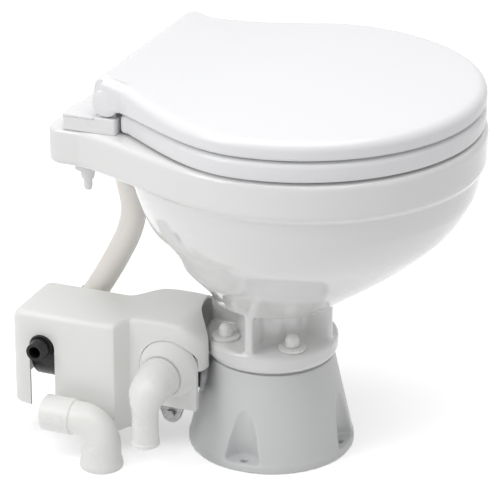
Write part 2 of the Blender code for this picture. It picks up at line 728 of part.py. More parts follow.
def bowl():
    """The china bowl: one piece with its flange, ribbed neck, rim and rear shelf."""
    outline = bowl_outline()
    edge = RIM_EDGE
    levels = ((edge, 0.0), (edge * 0.3, edge * 0.3), (0.0, edge))
    rings = [lifted(inset(outline, back), SHELF_Z + up) for back, up in levels]
    rings += [lifted(inset(outline, back), RIM_TOP - up) for back, up in levels[::-1]]
    body = mesh_object("bowl", rings_mesh(rings), "china")
    shell = [
        circle(share * BOWL_RADIUS, BOWL_Z + rise * BOWL_HEIGHT, BOWL_STEPS, (0.0, -ahead * BOWL_CENTRE))
        for rise, share, ahead in BOWL_STATION_SHARES
    ]
    fuse(body, mesh_object("bowl_shell_form", rings_mesh(shell)))
    neck = turned([
        (FLANGE_RADIUS - FLANGE_FOOT_DRAW, FLANGE_Z),
        (FLANGE_RADIUS, FLANGE_Z + FLANGE_FOOT_DRAW * 2.0),
        (FLANGE_RADIUS, FLANGE_TOP - FLANGE_EDGE),
        (FLANGE_RADIUS - FLANGE_EDGE, FLANGE_TOP),
        (NECK_RADIUS, FLANGE_TOP),
        (NECK_RADIUS, BOWL_Z - NECK_FILLET),
        (NECK_RADIUS + NECK_FILLET * 0.3, BOWL_Z - NECK_FILLET * 0.3),
        (NECK_RADIUS + NECK_FILLET, BOWL_Z + OVERRUN),
    ], steps=NECK_STEPS)
    fuse(body, mesh_object("bowl_neck_form", neck))
    half = RIB_THICKNESS / 2.0
    for i, (wide, deep) in enumerate(((RIB_REACH, half), (half, RIB_REACH))):
        low = (-wide, -deep, FLANGE_TOP - OVERRUN)
        high = (wide, deep, BOWL_Z + OVERRUN)
        fuse(body, mesh_object(f"bowl_rib_form_{i}", block(low, high)))
    spigot_low = Vector((0.0, HOSE_ROUTE[-1][1], SHELF_Z - INLET_SPIGOT_LENGTH))
    spigot = rod(spigot_low, Z_AXIS, INLET_SPIGOT_LENGTH + RIM_EDGE, INLET_SPIGOT_RADIUS)
    fuse(body, mesh_object("inlet_spigot_form", spigot))
    cavity = []
    for rise, share, ahead in CAVITY_STATION_SHARES:
        radius = share * (BOWL_RADIUS - BOWL_WALL * 0.3)
        cavity.append(circle(radius, BOWL_Z + rise * BOWL_HEIGHT, BOWL_STEPS, (0.0, -ahead * BOWL_CENTRE)))
    cut(body, mesh_object("bowl_cavity_form", rings_mesh(cavity)))
    low = BOWL_Z + CAVITY_STATION_SHARES[-2][0] * BOWL_HEIGHT
    mouth = []
    for height, grow in ((low, 0.0), (RIM_TOP - edge, 0.0), (RIM_TOP - edge * 0.3, edge * 0.3),
                         (RIM_TOP + GAP, edge), (RIM_TOP + OVERRUN, edge)):
        wide = MOUTH_HALF_WIDTH + grow
        deep = MOUTH_HALF_LENGTH + grow
        flat = circle(1.0, height, BOWL_STEPS)
        mouth.append([Vector((point.x * wide, point.y * deep - MOUTH_CENTRE, height)) for point in flat])
    cut(body, mesh_object("bowl_mouth_form", rings_mesh(mouth)))
    passage_low = Z_AXIS * (FLANGE_Z - OVERRUN)
    passage = BOWL_Z - FLANGE_Z + BOWL_WALL * 1.5
    cut(body, mesh_object("waste_passage_form", rod(passage_low, Z_AXIS, passage, WASTE_PASSAGE_RADIUS)))
    for place in flange_bolt_places():
        low = place + Z_AXIS * (FLANGE_Z - OVERRUN)
        hole = rod(low, Z_AXIS, FLANGE_THICKNESS + 2.0 * OVERRUN, FLANGE_BOLT_RADIUS + GAP, SMALL_ROUND_STEPS)
        cut(body, mesh_object("flange_hole_form", hole))
    for side in (-1.0, 1.0):
        low = Vector((side * HINGE_OFFSET, BRACKET_BOLT_Y, SHELF_Z - OVERRUN))
        hole = rod(low, Z_AXIS, RIM_HEIGHT + 2.0 * OVERRUN, HINGE_BOLT_HOLE_RADIUS, SMALL_ROUND_STEPS)
        cut(body, mesh_object("hinge_hole_form", hole))
    bore_low = spigot_low - Z_AXIS * OVERRUN
    bore = rod(bore_low, Z_AXIS, INLET_SPIGOT_LENGTH + RIM_HEIGHT * 0.6, PORT_BORE_RADIUS, SMALL_ROUND_STEPS)
    cut(body, mesh_object("inlet_bore_form", bore))


def flange_fasteners():
    """Four bolts with broad washers and snap-on caps."""
    for i, place in enumerate(flange_bolt_places(), start=1):
        at = Matrix.Translation(place)
        washer_z = FLANGE_TOP + GAP
        washer_top = washer_z + FLANGE_WASHER_THICKNESS
        inner = FLANGE_BOLT_RADIUS + GAP
        mesh_object(f"flange_washer_{i}", turned([
            (inner, washer_z), (FLANGE_WASHER_RADIUS, washer_z),
            (FLANGE_WASHER_RADIUS, washer_top), (inner, washer_top),
        ], at, closed=True), "fitting_white")
        head_z = washer_top + GAP
        mesh_object(f"flange_bolt_{i}", turned([
            (FLANGE_BOLT_RADIUS, BASE_HEIGHT - FLANGE_BOLT_DEPTH),
            (FLANGE_BOLT_RADIUS, head_z),
            (BOLT_HEAD_RADIUS, head_z),
            (BOLT_HEAD_RADIUS, head_z + BOLT_HEAD_HEIGHT),
        ], at, SMALL_ROUND_STEPS), "stainless")
        hollow = BOLT_HEAD_RADIUS + GAP
        roof = head_z + BOLT_HEAD_HEIGHT + GAP
        dome = CAP_HEIGHT - CAP_RADIUS * 0.8
        mesh_object(f"flange_cap_{i}", turned([
            (hollow * 0.5, roof), (hollow, roof), (hollow, head_z), (CAP_RADIUS, head_z),
            (CAP_RADIUS, head_z + dome),
            (CAP_RADIUS * 0.80, head_z + dome + CAP_RADIUS * 0.48),
            (CAP_RADIUS * 0.40, head_z + dome + CAP_RADIUS * 0.74),
            (CAP_RADIUS * 0.08, head_z + CAP_HEIGHT),
        ], at, SMALL_ROUND_STEPS), "fitting_white")


def knuckle(name, low_x, high_x, points):
    """A flat hinge lug between two X places: a round eye on the hinge axis drawn into a root."""
    eye = []
    for i in range(SMALL_ROUND_STEPS):
        angle = math.tau * i / SMALL_ROUND_STEPS
        eye.append(Vector((HINGE_AXIS_Y + KNUCKLE_RADIUS * math.cos(angle),
                           HINGE_AXIS_Z + KNUCKLE_RADIUS * math.sin(angle))))
    work = bmesh.new()
    for x in (low_x, high_x):
        for pair in eye + [Vector(point) for point in points]:
            work.verts.new((x, pair.x, pair.y))
    hull = bmesh.ops.convex_hull(work, input=work.verts)
    spare = [v for v in hull["geom_interior"] if isinstance(v, bmesh.types.BMVert)]
    bmesh.ops.delete(work, geom=spare, context="VERTS")
    return mesh_object(name, work)


def pin_hole(name, side, radius, low_x, high_x):
    start = Vector((side * low_x, HINGE_AXIS_Y, HINGE_AXIS_Z))
    return mesh_object(name, rod(start, X_AXIS * side, high_x - low_x, radius, ROUND_STEPS))


def hinge(side, word):
    """One hinge: bracket on the shelf, snap cap, pin, bolt and plastic nut under the shelf."""
    low_x, high_x = sorted((side * BRACKET_INNER, side * BRACKET_OUTER))
    low = (low_x, BRACKET_FRONT, BRACKET_Z)
    high = (high_x, BRACKET_REAR, BRACKET_TOP)
    body = mesh_object(f"hinge_bracket_{word}", round_block(low, high, BRACKET_EDGE / 2.0, BRACKET_EDGE),
                       "hinge_white")
    a, b = sorted((side * KNUCKLE_INNER, side * KNUCKLE_OUTER))
    root = BRACKET_TOP - OVERRUN
    fuse(body, knuckle(f"bracket_eye_form_{word}", a, b, (
        (HINGE_AXIS_Y - KNUCKLE_RADIUS, root), (HINGE_AXIS_Y + KNUCKLE_RADIUS, root))))
    cut(body, pin_hole(f"bracket_pin_form_{word}", side, HINGE_PIN_RADIUS + PIN_CLEARANCE,
                       BRACKET_INNER, BRACKET_OUTER + OVERRUN))
    seat_z = BRACKET_TOP - BRACKET_CAP_THICKNESS
    pocket_low = (low_x - OVERRUN, BRACKET_CAP_FRONT - GAP, seat_z)
    pocket_high = (high_x + OVERRUN, BRACKET_REAR + OVERRUN, BRACKET_TOP + OVERRUN)
    cut(body, mesh_object(f"cap_seat_form_{word}", block(pocket_low, pocket_high)))
    middle = Vector((side * HINGE_OFFSET, BRACKET_BOLT_Y, 0.0))
    head_z = seat_z - GAP - HINGE_BOLT_HEAD_HEIGHT
    well = rod(middle + Z_AXIS * (head_z - GAP), Z_AXIS, RIM_HEIGHT, HINGE_BOLT_HEAD_RADIUS + GAP, SMALL_ROUND_STEPS)
    cut(body, mesh_object(f"bolt_head_form_{word}", well))
    shank = rod(middle + Z_AXIS * SHELF_Z, Z_AXIS, RIM_HEIGHT * 2.0, HINGE_BOLT_RADIUS + GAP, SMALL_ROUND_STEPS)
    cut(body, mesh_object(f"bolt_shank_form_{word}", shank))
    cap_low = (low_x, BRACKET_CAP_FRONT, seat_z + GAP)
    cap_high = (high_x, BRACKET_REAR, BRACKET_TOP)
    mesh_object(f"hinge_cap_{word}", round_block(cap_low, cap_high, BRACKET_EDGE / 3.0, BRACKET_EDGE), "hinge_white")
    start = Vector((side * HINGE_PIN_INNER, HINGE_AXIS_Y, HINGE_AXIS_Z))
    mesh_object(f"hinge_pin_{word}", rod(start, X_AXIS * side, HINGE_PIN_OUTER - HINGE_PIN_INNER, HINGE_PIN_RADIUS),
                "stainless")
    end_z = SHELF_Z - HINGE_BOLT_END_DROP
    tip = HINGE_BOLT_RADIUS * 0.75
    mesh_object(f"hinge_bolt_{word}", turned([
        (tip, end_z), (HINGE_BOLT_RADIUS, end_z + tip),
        (HINGE_BOLT_RADIUS, head_z), (HINGE_BOLT_HEAD_RADIUS, head_z),
        (HINGE_BOLT_HEAD_RADIUS, head_z + HINGE_BOLT_HEAD_HEIGHT),
    ], Matrix.Translation(middle), SMALL_ROUND_STEPS), "hinge_white")
    nut_top = SHELF_Z - GAP
    inner = HINGE_BOLT_RADIUS + GAP
    mesh_object(f"hinge_nut_{word}", turned([
        (inner, nut_top - HINGE_NUT_HEIGHT), (HINGE_NUT_WAIST_RADIUS, nut_top - HINGE_NUT_HEIGHT),
        (HINGE_NUT_WAIST_RADIUS * 1.2, nut_top - HINGE_NUT_HEIGHT * 0.55),
        (HINGE_NUT_RADIUS, nut_top - HINGE_NUT_HEIGHT * 0.40),
        (HINGE_NUT_RADIUS, nut_top), (inner, nut_top),
    ], Matrix.Translation(middle), ROUND_STEPS, closed=True), "hinge_white")


def seat(parent):
    """The seat ring with two lugs on the hinge pins."""
    outline = rim_outline(
        SEAT_RADIUS, SEAT_CENTRE, SEAT_SIDE_PULL, (SEAT_EASE_X, SEAT_EASE_Y),
        (SEAT_REAR_HALF_WIDTH, SEAT_SHOULDER_Y), SEAT_REAR, SEAT_CORNER,
    )
    middle = Vector((0.0, -SEAT_HOLE_CENTRE))
    hole = []
    for point in outline:
        way = (point - middle).normalized()
        hole.append(middle + Vector((way.x * SEAT_HOLE_HALF_WIDTH, way.y * SEAT_HOLE_HALF_LENGTH)))
    edge = SEAT_EDGE
    steps = ((0.0, edge), (edge * 0.25, edge * 0.3), (edge, 0.0))
    foot = ((edge * 0.5, 0.0), (0.0, edge * 0.5))
    rings = [lifted(inset(outline, back), SEAT_Z + up) for back, up in foot]
    rings += [lifted(inset(outline, back), SEAT_TOP - up) for back, up in steps]
    rings += [lifted(inset(hole, -back), SEAT_TOP - up) for back, up in steps[::-1]]
    rings += [lifted(inset(hole, -back), SEAT_Z + up) for back, up in foot[::-1]]
    body = mesh_object("seat", rings_mesh(rings, closed=True), "seat_white", parent)
    for side in (-1.0, 1.0):
        a, b = sorted((side * SEAT_KNUCKLE_INNER, side * SEAT_KNUCKLE_OUTER))
        lug = knuckle(f"seat_lug_form_{a:.2f}", a, b, (
            (SEAT_LUG_ROOT_Y, SEAT_Z + SEAT_LUG_ROOT_RISE), (SEAT_LUG_ROOT_Y, SEAT_Z + SEAT_LUG_ROOT_TOP)))
        fuse(body, lug)
        cut(body, pin_hole(f"seat_pin_form_{a:.2f}", side, HINGE_PIN_RADIUS + PIN_CLEARANCE,
                           HINGE_PIN_INNER, KNUCKLE_INNER))
    bumper_height = SEAT_LIFT - 2.0 * GAP
    for i, angle in enumerate((40.0, 140.0, 215.0, 325.0), start=1):
        turn = math.radians(angle)
        place = Vector((SEAT_BUMPER_CIRCLE * math.cos(turn),
                        SEAT_BUMPER_CIRCLE * math.sin(turn) - SEAT_CENTRE, RIM_TOP + GAP))
        mesh_object(f"seat_bumper_{i}", rod(place, Z_AXIS, bumper_height, SEAT_BUMPER_RADIUS, SMALL_ROUND_STEPS),
                    "pale_rubber", parent)


def lid_outline():
    return rim_outline(
        SEAT_RADIUS, SEAT_CENTRE, SEAT_SIDE_PULL, (SEAT_EASE_X, SEAT_EASE_Y),
        (LID_REAR_HALF_WIDTH, LID_SHOULDER_Y), LID_REAR, LID_CORNER,
    )


def lid(parent):
    """The lid: a shallow shell whose rear rises into the hinge barrel."""
    outline = lid_outline()

    def rise(point):
        t = (point.y - LID_RISE_START) / (LID_RISE_END - LID_RISE_START)
        t = min(max(t, 0.0), 1.0)
        return LID_REAR_RISE * t * t

    edge = LID_EDGE
    wall = LID_WALL
    middle = Vector((0.0, -SEAT_CENTRE))
    rings = [
        lifted(drawn_in(outline, middle, wall + edge), LID_Z + LID_RECESS),
        lifted(drawn_in(outline, middle, wall), LID_Z),
        lifted(inset(outline, LID_FOOT_EDGE * 0.4), LID_Z),
        lifted(outline, LID_Z + LID_FOOT_EDGE * 0.5),
    ]
    for back, down in ((0.0, 1.0), (0.13, 0.5), (0.5, 0.13), (1.0, 0.0)):
        ring = inset(outline, edge * back)
        rings.append([Vector((p.x, p.y, LID_TOP - down * edge + rise(p))) for p in ring])
    for share in (0.86, 0.70, 0.48, 0.25, 0.04):
        ring = [middle + (p - middle) * share for p in outline]
        crown = LID_CROWN * (1.0 - share * share)
        rings.append([Vector((p.x, p.y, LID_TOP + crown + rise(p))) for p in ring])
    body = mesh_object("lid", rings_mesh(rings), "seat_white", parent)
    half = LID_REAR_HALF_WIDTH
    bead = LID_BARREL_EDGE
    full = LID_BARREL_RADIUS
    start = Vector((-half, HINGE_AXIS_Y, HINGE_AXIS_Z))
    profile = [(full - bead, 0.0), (full - bead * 0.3, bead * 0.3), (full, bead),
               (full, 2.0 * half - bead), (full - bead * 0.3, 2.0 * half - bead * 0.3),
               (full - bead, 2.0 * half)]
    fuse(body, mesh_object("lid_barrel_form", turned(profile, axis_matrix(start, X_AXIS), ROUND_STEPS)))
    rounds = ((0.0, 0.0, full), (LID_CHEEK_BEHIND, LID_CHEEK_RISE, LID_CHEEK_RADIUS),
              (-LID_CHEEK_AHEAD, LID_CHEEK_FRONT_RISE, LID_CHEEK_RADIUS))
    work = bmesh.new()
    for x in (bead - half, half - bead):
        for i in range(SMALL_ROUND_STEPS):
            angle = math.tau * i / SMALL_ROUND_STEPS
            for back, up, radius in rounds:
                work.verts.new((x, HINGE_AXIS_Y + back + radius * math.cos(angle),
                                HINGE_AXIS_Z + up + radius * math.sin(angle)))
    hull = bmesh.ops.convex_hull(work, input=work.verts)
    spare = [v for v in hull["geom_interior"] if isinstance(v, bmesh.types.BMVert)]
    bmesh.ops.delete(work, geom=spare, context="VERTS")
    fuse(body, mesh_object("lid_cheek_form", work))
    eye = LID_SLOT_RADIUS
    reach = LID_SLOT_REACH
    for side in (-1.0, 1.0):
        a, b = sorted((side * LID_SLOT_INNER, side * LID_SLOT_OUTER))
        word = "left" if side < 0.0 else "right"
        place = Vector((a, HINGE_AXIS_Y, HINGE_AXIS_Z))
        cut(body, mesh_object(f"lid_slot_eye_{word}", rod(place, X_AXIS, b - a, eye)))
        below = block((a, HINGE_AXIS_Y - reach, HINGE_AXIS_Z - reach), (b, HINGE_AXIS_Y + reach, HINGE_AXIS_Z + OVERRUN))
        cut(body, mesh_object(f"lid_slot_below_{word}", below))
        behind = block((a, HINGE_AXIS_Y, HINGE_AXIS_Z - reach), (b, HINGE_AXIS_Y + reach, HINGE_AXIS_Z + eye))
        cut(body, mesh_object(f"lid_slot_behind_{word}", behind))
        cut(body, pin_hole(f"lid_pin_form_{word}", side, HINGE_PIN_RADIUS + PIN_CLEARANCE,
                           HINGE_PIN_INNER - GAP, HINGE_PIN_OUTER + GAP))
    bumper_height = LID_LIFT - 2.0 * GAP
    for i, angle in enumerate((270.0, 205.0, 335.0), start=1):
        turn = math.radians(angle)
        place = Vector((LID_BUMPER_CIRCLE * math.cos(turn),
                        LID_BUMPER_CIRCLE * math.sin(turn) - SEAT_CENTRE, SEAT_TOP + GAP))
        mesh_object(f"lid_bumper_{i}", rod(place, Z_AXIS, bumper_height, LID_BUMPER_RADIUS, SMALL_ROUND_STEPS),
                    "pale_rubber", parent)


def vaned(name, place, radius, hub_share, vanes, width, share, finish, parent):
    """A wheel with straight vanes round a hub, bored for the shaft, its axis along the place's Z."""
    outline = []
    for i in range(vanes):
        for turn, reach in ((0.0, radius * hub_share), (0.0, radius), (share, radius), (share, radius * hub_share)):
            angle = math.tau * (i + turn) / vanes
            outline.append((reach * math.cos(angle), reach * math.sin(angle)))
    rings = [[place @ Vector((x, y, height)) for x, y in outline] for height in (0.0, width)]
    wheel = mesh_object(name, rings_mesh(rings), finish, parent)
    bore = turned([(SHAFT_RADIUS + GAP, -OVERRUN), (SHAFT_RADIUS + GAP, width + OVERRUN)], place)
    cut(wheel, mesh_object(name + "_bore_form", bore))


def pump_axis(y):
    """The place on the shaft's axis at a depth, its Z along +Y."""
    return axis_matrix((PUMP_X, y, PUMP_Z), Y_AXIS)


def ring_on_shaft(name, y, length, outer, inner, finish, parent=None):
    return mesh_object(name, turned([(inner, 0.0), (outer, 0.0), (outer, length), (inner, length)],
                                    pump_axis(y), closed=True), finish, parent)


def lean_path():
    """Middle line of the rinse pump's outlet: out along +X, round the corner and up the leaning spigot."""
    corner = Vector((OUTLET_ELBOW_X, PORT_Y, PORT_Z))
    lean = Vector(HOSE_LEAN).normalized()
    back = -X_AXIS * HOSE_LEAN_START
    start = Vector((PUMP_X, PORT_Y, PORT_Z))
    bend = [corner + back * (1.0 - t) ** 2 + lean * HOSE_LEAN_START * t * t for t in (0.0, 0.25, 0.5, 0.75, 1.0)]
    tip = corner + lean * (HOSE_LEAN_START + HOSE_LEAN_GRIP)
    return [start, *bend, tip]


def rinse_pump():
    """The raw water pump: housing with inlet and outlet spigots, end plate, impeller and shaft seal."""
    body = mesh_object("pump_body", turned([
        (PUMP_RADIUS, 0.0), (PUMP_RADIUS, PUMP_REAR - PUMP_FRONT)
    ], pump_axis(PUMP_FRONT)), "black_plastic")
    inlet = turned([
        (PORT_NECK_RADIUS, 0.0),
        (PORT_NECK_RADIUS, PUMP_X - PORT_NECK_REACH),
        (PORT_TUBE_RADIUS, PUMP_X - PORT_NECK_REACH),
        (PORT_TUBE_RADIUS, PUMP_X - PORT_BARB_START),
        (PORT_BARB_RADIUS, PUMP_X - PORT_BARB_START),
        (PORT_TUBE_RADIUS, PUMP_X - PORT_MOUTH),
    ], axis_matrix((PUMP_X, PORT_Y, PORT_Z), -X_AXIS))
    fuse(body, mesh_object("inlet_form", inlet))
    path = lean_path()
    solid = [[centre + (side * math.cos(k) + up * math.sin(k)) * OUTLET_ELBOW_RADIUS
              for k in (math.tau * i / SMALL_ROUND_STEPS for i in range(SMALL_ROUND_STEPS))]
             for centre, side, up in frames(path)]
    fuse(body, mesh_object("outlet_form", rings_mesh(solid)))
    chamber = PUMP_REAR - PUMP_FRONT - PUMP_WALL
    cut(body, mesh_object("chamber_form", rod((PUMP_X, PUMP_FRONT + PUMP_WALL, PUMP_Z), Y_AXIS,
                                              chamber + OVERRUN, PUMP_CHAMBER_RADIUS)))
    cut(body, mesh_object("seal_seat_form", rod((PUMP_X, PUMP_FRONT - OVERRUN, PUMP_Z), Y_AXIS,
                                                PUMP_WALL + 2.0 * OVERRUN, SEAL_RADIUS + GAP)))
    cut(body, mesh_object("inlet_bore_form_x", rod((PUMP_X, PORT_Y, PORT_Z), -X_AXIS,
                                                   PUMP_X - PORT_MOUTH + OVERRUN, PORT_BORE_RADIUS)))
    path[0] = path[0] + X_AXIS * PORT_BORE_RADIUS
    path[-1] = path[-1] + (path[-1] - path[-2]).normalized() * OVERRUN
    drill = [[centre + (side * math.cos(k) + up * math.sin(k)) * PORT_BORE_RADIUS
              for k in (math.tau * i / SMALL_ROUND_STEPS for i in range(SMALL_ROUND_STEPS))]
             for centre, side, up in frames(path)]
    cut(body, mesh_object("outlet_bore_form_x", rings_mesh(drill)))
    mesh_object("pump_end_plate", turned([
        (PUMP_RADIUS, 0.0), (PUMP_RADIUS, END_PLATE_THICKNESS * 0.7),
        (PUMP_RADIUS - END_PLATE_THICKNESS * 0.3, END_PLATE_THICKNESS),
    ], pump_axis(PUMP_REAR + GAP)), "black_plastic")
    ring_on_shaft("shaft_seal", PUMP_FRONT, PUMP_WALL, SEAL_RADIUS, SHAFT_RADIUS + GAP, "rubber")


def motor():
    """The motor: case, front flange and two bearings."""
    length = PUMP_FRONT - GAP - MOTOR_FRONT
    rear = length - MOTOR_REAR_WALL
    inner = MOTOR_RADIUS - MOTOR_WALL
    seat = BEARING_RADIUS + GAP
    bore = SHAFT_RADIUS + PUMP_WALL * 0.25
    mesh_object("motor_case", turned([
        (inner, 0.0), (MOTOR_RADIUS, 0.0), (MOTOR_RADIUS, length), (bore, length),
        (bore, rear + BEARING_WIDTH + GAP), (seat, rear + BEARING_WIDTH + GAP), (seat, rear), (inner, rear),
    ], pump_axis(MOTOR_FRONT), closed=True), "motor_black")
    ring_on_shaft("rear_bearing", MOTOR_FRONT + rear, BEARING_WIDTH, BEARING_RADIUS, SHAFT_RADIUS + GAP, "stainless")
    flange_y = MOTOR_FRONT - GAP - MOTOR_FLANGE_THICKNESS
    ring_on_shaft("motor_flange", flange_y, MOTOR_FLANGE_THICKNESS, MOTOR_RADIUS, seat, "black_plastic")
    spare = (MOTOR_FLANGE_THICKNESS - BEARING_WIDTH) / 2.0
    ring_on_shaft("front_bearing", flange_y + spare, BEARING_WIDTH, BEARING_RADIUS, SHAFT_RADIUS + GAP, "stainless")


def shaft_group(parent):
    """What turns with the motor: shaft, rotor, both impellers and the chopper blade."""
    mesh_object("shaft", rod((PUMP_X, SHAFT_FRONT, PUMP_Z), Y_AXIS, SHAFT_REAR - SHAFT_FRONT, SHAFT_RADIUS,
                             SMALL_ROUND_STEPS), "stainless", parent)
    middle = (MOTOR_FRONT + PUMP_FRONT - MOTOR_REAR_WALL) / 2.0
    vaned("rotor", pump_axis(middle - ROTOR_LENGTH / 2.0), ROTOR_RADIUS, ROTOR_HUB_SHARE, ROTOR_SLOTS,
          ROTOR_LENGTH, ROTOR_SLOT_SHARE, "rotor_steel", parent)
    rinse_y = PUMP_FRONT + PUMP_WALL + 5.0 * GAP
    vaned("rinse_impeller", pump_axis(rinse_y), RINSE_IMPELLER_RADIUS, RINSE_HUB_SHARE, RINSE_VANES,
          RINSE_IMPELLER_WIDTH, RINSE_VANE_SHARE, "rubber", parent)
    discharge_y = DISCHARGE_Y - DISCHARGE_IMPELLER_WIDTH / 2.0
    vaned("discharge_impeller", pump_axis(discharge_y + 2.0 * OVERRUN), DISCHARGE_IMPELLER_RADIUS,
          DISCHARGE_HUB_SHARE, DISCHARGE_VANES, DISCHARGE_IMPELLER_WIDTH, DISCHARGE_VANE_SHARE,
          "black_plastic", parent)
    blade_y = discharge_y + 2.0 * OVERRUN + DISCHARGE_IMPELLER_WIDTH + 2.0 * OVERRUN
    wide = CHOPPER_HALF_WIDTH
    blade = mesh_object("macerator_blade", extruded([
        (PUMP_X - wide, PUMP_Z - CHOPPER_REACH), (PUMP_X + wide, PUMP_Z - CHOPPER_REACH),
        (PUMP_X + wide * 0.5, PUMP_Z + CHOPPER_REACH), (PUMP_X - wide * 0.5, PUMP_Z + CHOPPER_REACH),
    ], blade_y, blade_y + CHOPPER_THICKNESS, 1), "stainless", parent)
    hole = rod((PUMP_X, blade_y - OVERRUN, PUMP_Z), Y_AXIS, CHOPPER_THICKNESS + 2.0 * OVERRUN, SHAFT_RADIUS + GAP)
    cutter = mesh_object("blade_bore_form", hole)
    cut(blade, cutter)


def macerator():
    """The macerator housing: a cup that takes the bowl's waste on its low side and delivers through its flat."""
    length = MOTOR_FRONT - 2.0 * GAP - MOTOR_FLANGE_THICKNESS - MACERATOR_FRONT
    wide = MACERATOR_RADIUS
    chamber = MACERATOR_CHAMBER_LENGTH
    rear = MACERATOR_WALL + chamber + MACERATOR_WALL
    body = mesh_object("macerator_housing", turned([
        (wide - MACERATOR_WALL, 0.0), (wide, MACERATOR_WALL), (wide, rear),
        (MACERATOR_NECK_RADIUS, rear), (MACERATOR_NECK_RADIUS, length),
    ], pump_axis(MACERATOR_FRONT)), "black_plastic")
    way = Vector((math.cos(OUTLET_ANGLE), math.sin(OUTLET_ANGLE), 0.0))
    start = way * (OUTLET_REACH + GAP) + Z_AXIS * OUTLET_HEIGHT
    fuse(body, mesh_object("waste_stub_form", rod(start, way, MACERATOR_STUB_LENGTH, MACERATOR_STUB_RADIUS)))
    cut(body, mesh_object("chamber_form_front", rod((PUMP_X, MACERATOR_FRONT + MACERATOR_WALL, PUMP_Z), Y_AXIS,
                                                    chamber, MACERATOR_CHAMBER_RADIUS)))
    cut(body, mesh_object("neck_bore_form", rod((PUMP_X, MACERATOR_FRONT + MACERATOR_WALL, PUMP_Z), Y_AXIS,
                                                length, SHAFT_RADIUS + 2.0 * GAP)))
    cut(body, mesh_object("waste_stub_bore", rod(start - way * OVERRUN, way, MACERATOR_STUB_LENGTH,
                                                 OUTLET_BORE_RADIUS)))
    low = (-1.0 * (COVER_WALL - COVER_NEAR_X), MACERATOR_FRONT - OVERRUN, 0.0)
    high = (DISCHARGE_SEAT_X + GAP, MOTOR_FRONT, COVER_TOP)
    cut(body, mesh_object("outlet_flat_form", block(low, high)))


def discharge_axis(x):
    """The place on the discharge axis at an X, its Z along -X."""
    return axis_matrix((x, DISCHARGE_Y, DISCHARGE_Z), -X_AXIS)


def plate_outline(radius):
    """The discharge plate: a disc drawn down into a round ear, as (Y, Z) points."""
    points = []
    steps = ROUND_STEPS
    for i in range(steps):
        angle = math.tau * i / steps
        points.append((DISCHARGE_Y + radius * math.cos(angle), DISCHARGE_Z + radius * math.sin(angle)))
        points.append((EAR_Y + EAR_RADIUS * math.cos(angle), EAR_Z + EAR_RADIUS * math.sin(angle)))
    return points


def plate_solid(radius, start, end):
    work = bmesh.new()
    for x in (start, end):
        for y, z in plate_outline(radius):
            work.verts.new((x, y, z))
    hull = bmesh.ops.convex_hull(work, input=work.verts)
    spare = [v for v in hull["geom_interior"] if isinstance(v, bmesh.types.BMVert)]
    bmesh.ops.delete(work, geom=spare, context="VERTS")
    return work


def discharge():
    """Gasket, stainless plate with its screw, moulded boss on it, and the elbow's seal ring."""
    x = DISCHARGE_SEAT_X
    gasket = mesh_object("discharge_gasket", plate_solid(PLATE_RADIUS, x - DISCHARGE_GASKET_THICKNESS, x), "rubber")
    bore = PLATE_BORE_RADIUS
    drill_start = (x + OVERRUN, DISCHARGE_Y, DISCHARGE_Z)
    drill = mesh_object("gasket_bore_form", rod(drill_start, -X_AXIS, 4.0 * OVERRUN, bore))
    cut(gasket, drill)
    plate_x = x - DISCHARGE_GASKET_THICKNESS - GAP
    plate = mesh_object("discharge_plate", plate_solid(PLATE_RADIUS, plate_x - PLATE_THICKNESS, plate_x), "stainless")
    cut(plate, drill)
    hole_start = (x + OVERRUN, EAR_Y, EAR_Z)
    screw_hole = mesh_object("plate_screw_form", rod(hole_start, -X_AXIS, 4.0 * OVERRUN, PLATE_BOLT_SHANK + GAP,
                                                     SMALL_ROUND_STEPS))
    cut(plate, screw_hole)
    cut(gasket, screw_hole)
    face = plate_x - PLATE_THICKNESS - GAP
    mesh_object("plate_screw", turned([
        (PLATE_BOLT_SHANK, face - x - OVERRUN), (PLATE_BOLT_SHANK, 0.0),
        (PLATE_BOLT_RADIUS, 0.0), (PLATE_BOLT_RADIUS, PLATE_BOLT_HEAD),
    ], axis_matrix((face, EAR_Y, EAR_Z), -X_AXIS), 6), "stainless")
    shoulder = BOSS_SEAT_X - BOSS_SHOULDER_X
    nose = BOSS_SEAT_X - BOSS_NOSE_X
    boss = mesh_object("discharge_boss", turned([
        (BOSS_RADIUS, 0.0), (BOSS_RADIUS, shoulder),
        (BOSS_RADIUS * 0.95, shoulder + (nose - shoulder) * 0.2),
        (BOSS_NOSE_RADIUS * 1.08, nose * 0.80), (BOSS_NOSE_RADIUS, nose),
    ], discharge_axis(BOSS_SEAT_X)), "cover_white")
    low = (BOSS_SHOULDER_X, DISCHARGE_Y - BOSS_RADIUS, BOSS_FOOT_Z)
    high = (BOSS_SEAT_X, DISCHARGE_Y + BOSS_RADIUS, DISCHARGE_Z)
    fuse(boss, mesh_object("boss_foot_form", block(low, high)))
    bore_start = (BOSS_SEAT_X + OVERRUN, DISCHARGE_Y, DISCHARGE_Z)
    cut(boss, mesh_object("boss_bore_form", rod(bore_start, -X_AXIS, nose + 2.0 * OVERRUN, PLATE_BORE_RADIUS)))
    mesh_object("elbow_seal", turned([
        (PLATE_BORE_RADIUS, 0.0), (ELBOW_SEAL_RADIUS, 0.0),
        (ELBOW_SEAL_RADIUS, ELBOW_SEAL_THICKNESS), (PLATE_BORE_RADIUS, ELBOW_SEAL_THICKNESS),
    ], discharge_axis(BOSS_NOSE_X - GAP), closed=True), "rubber")


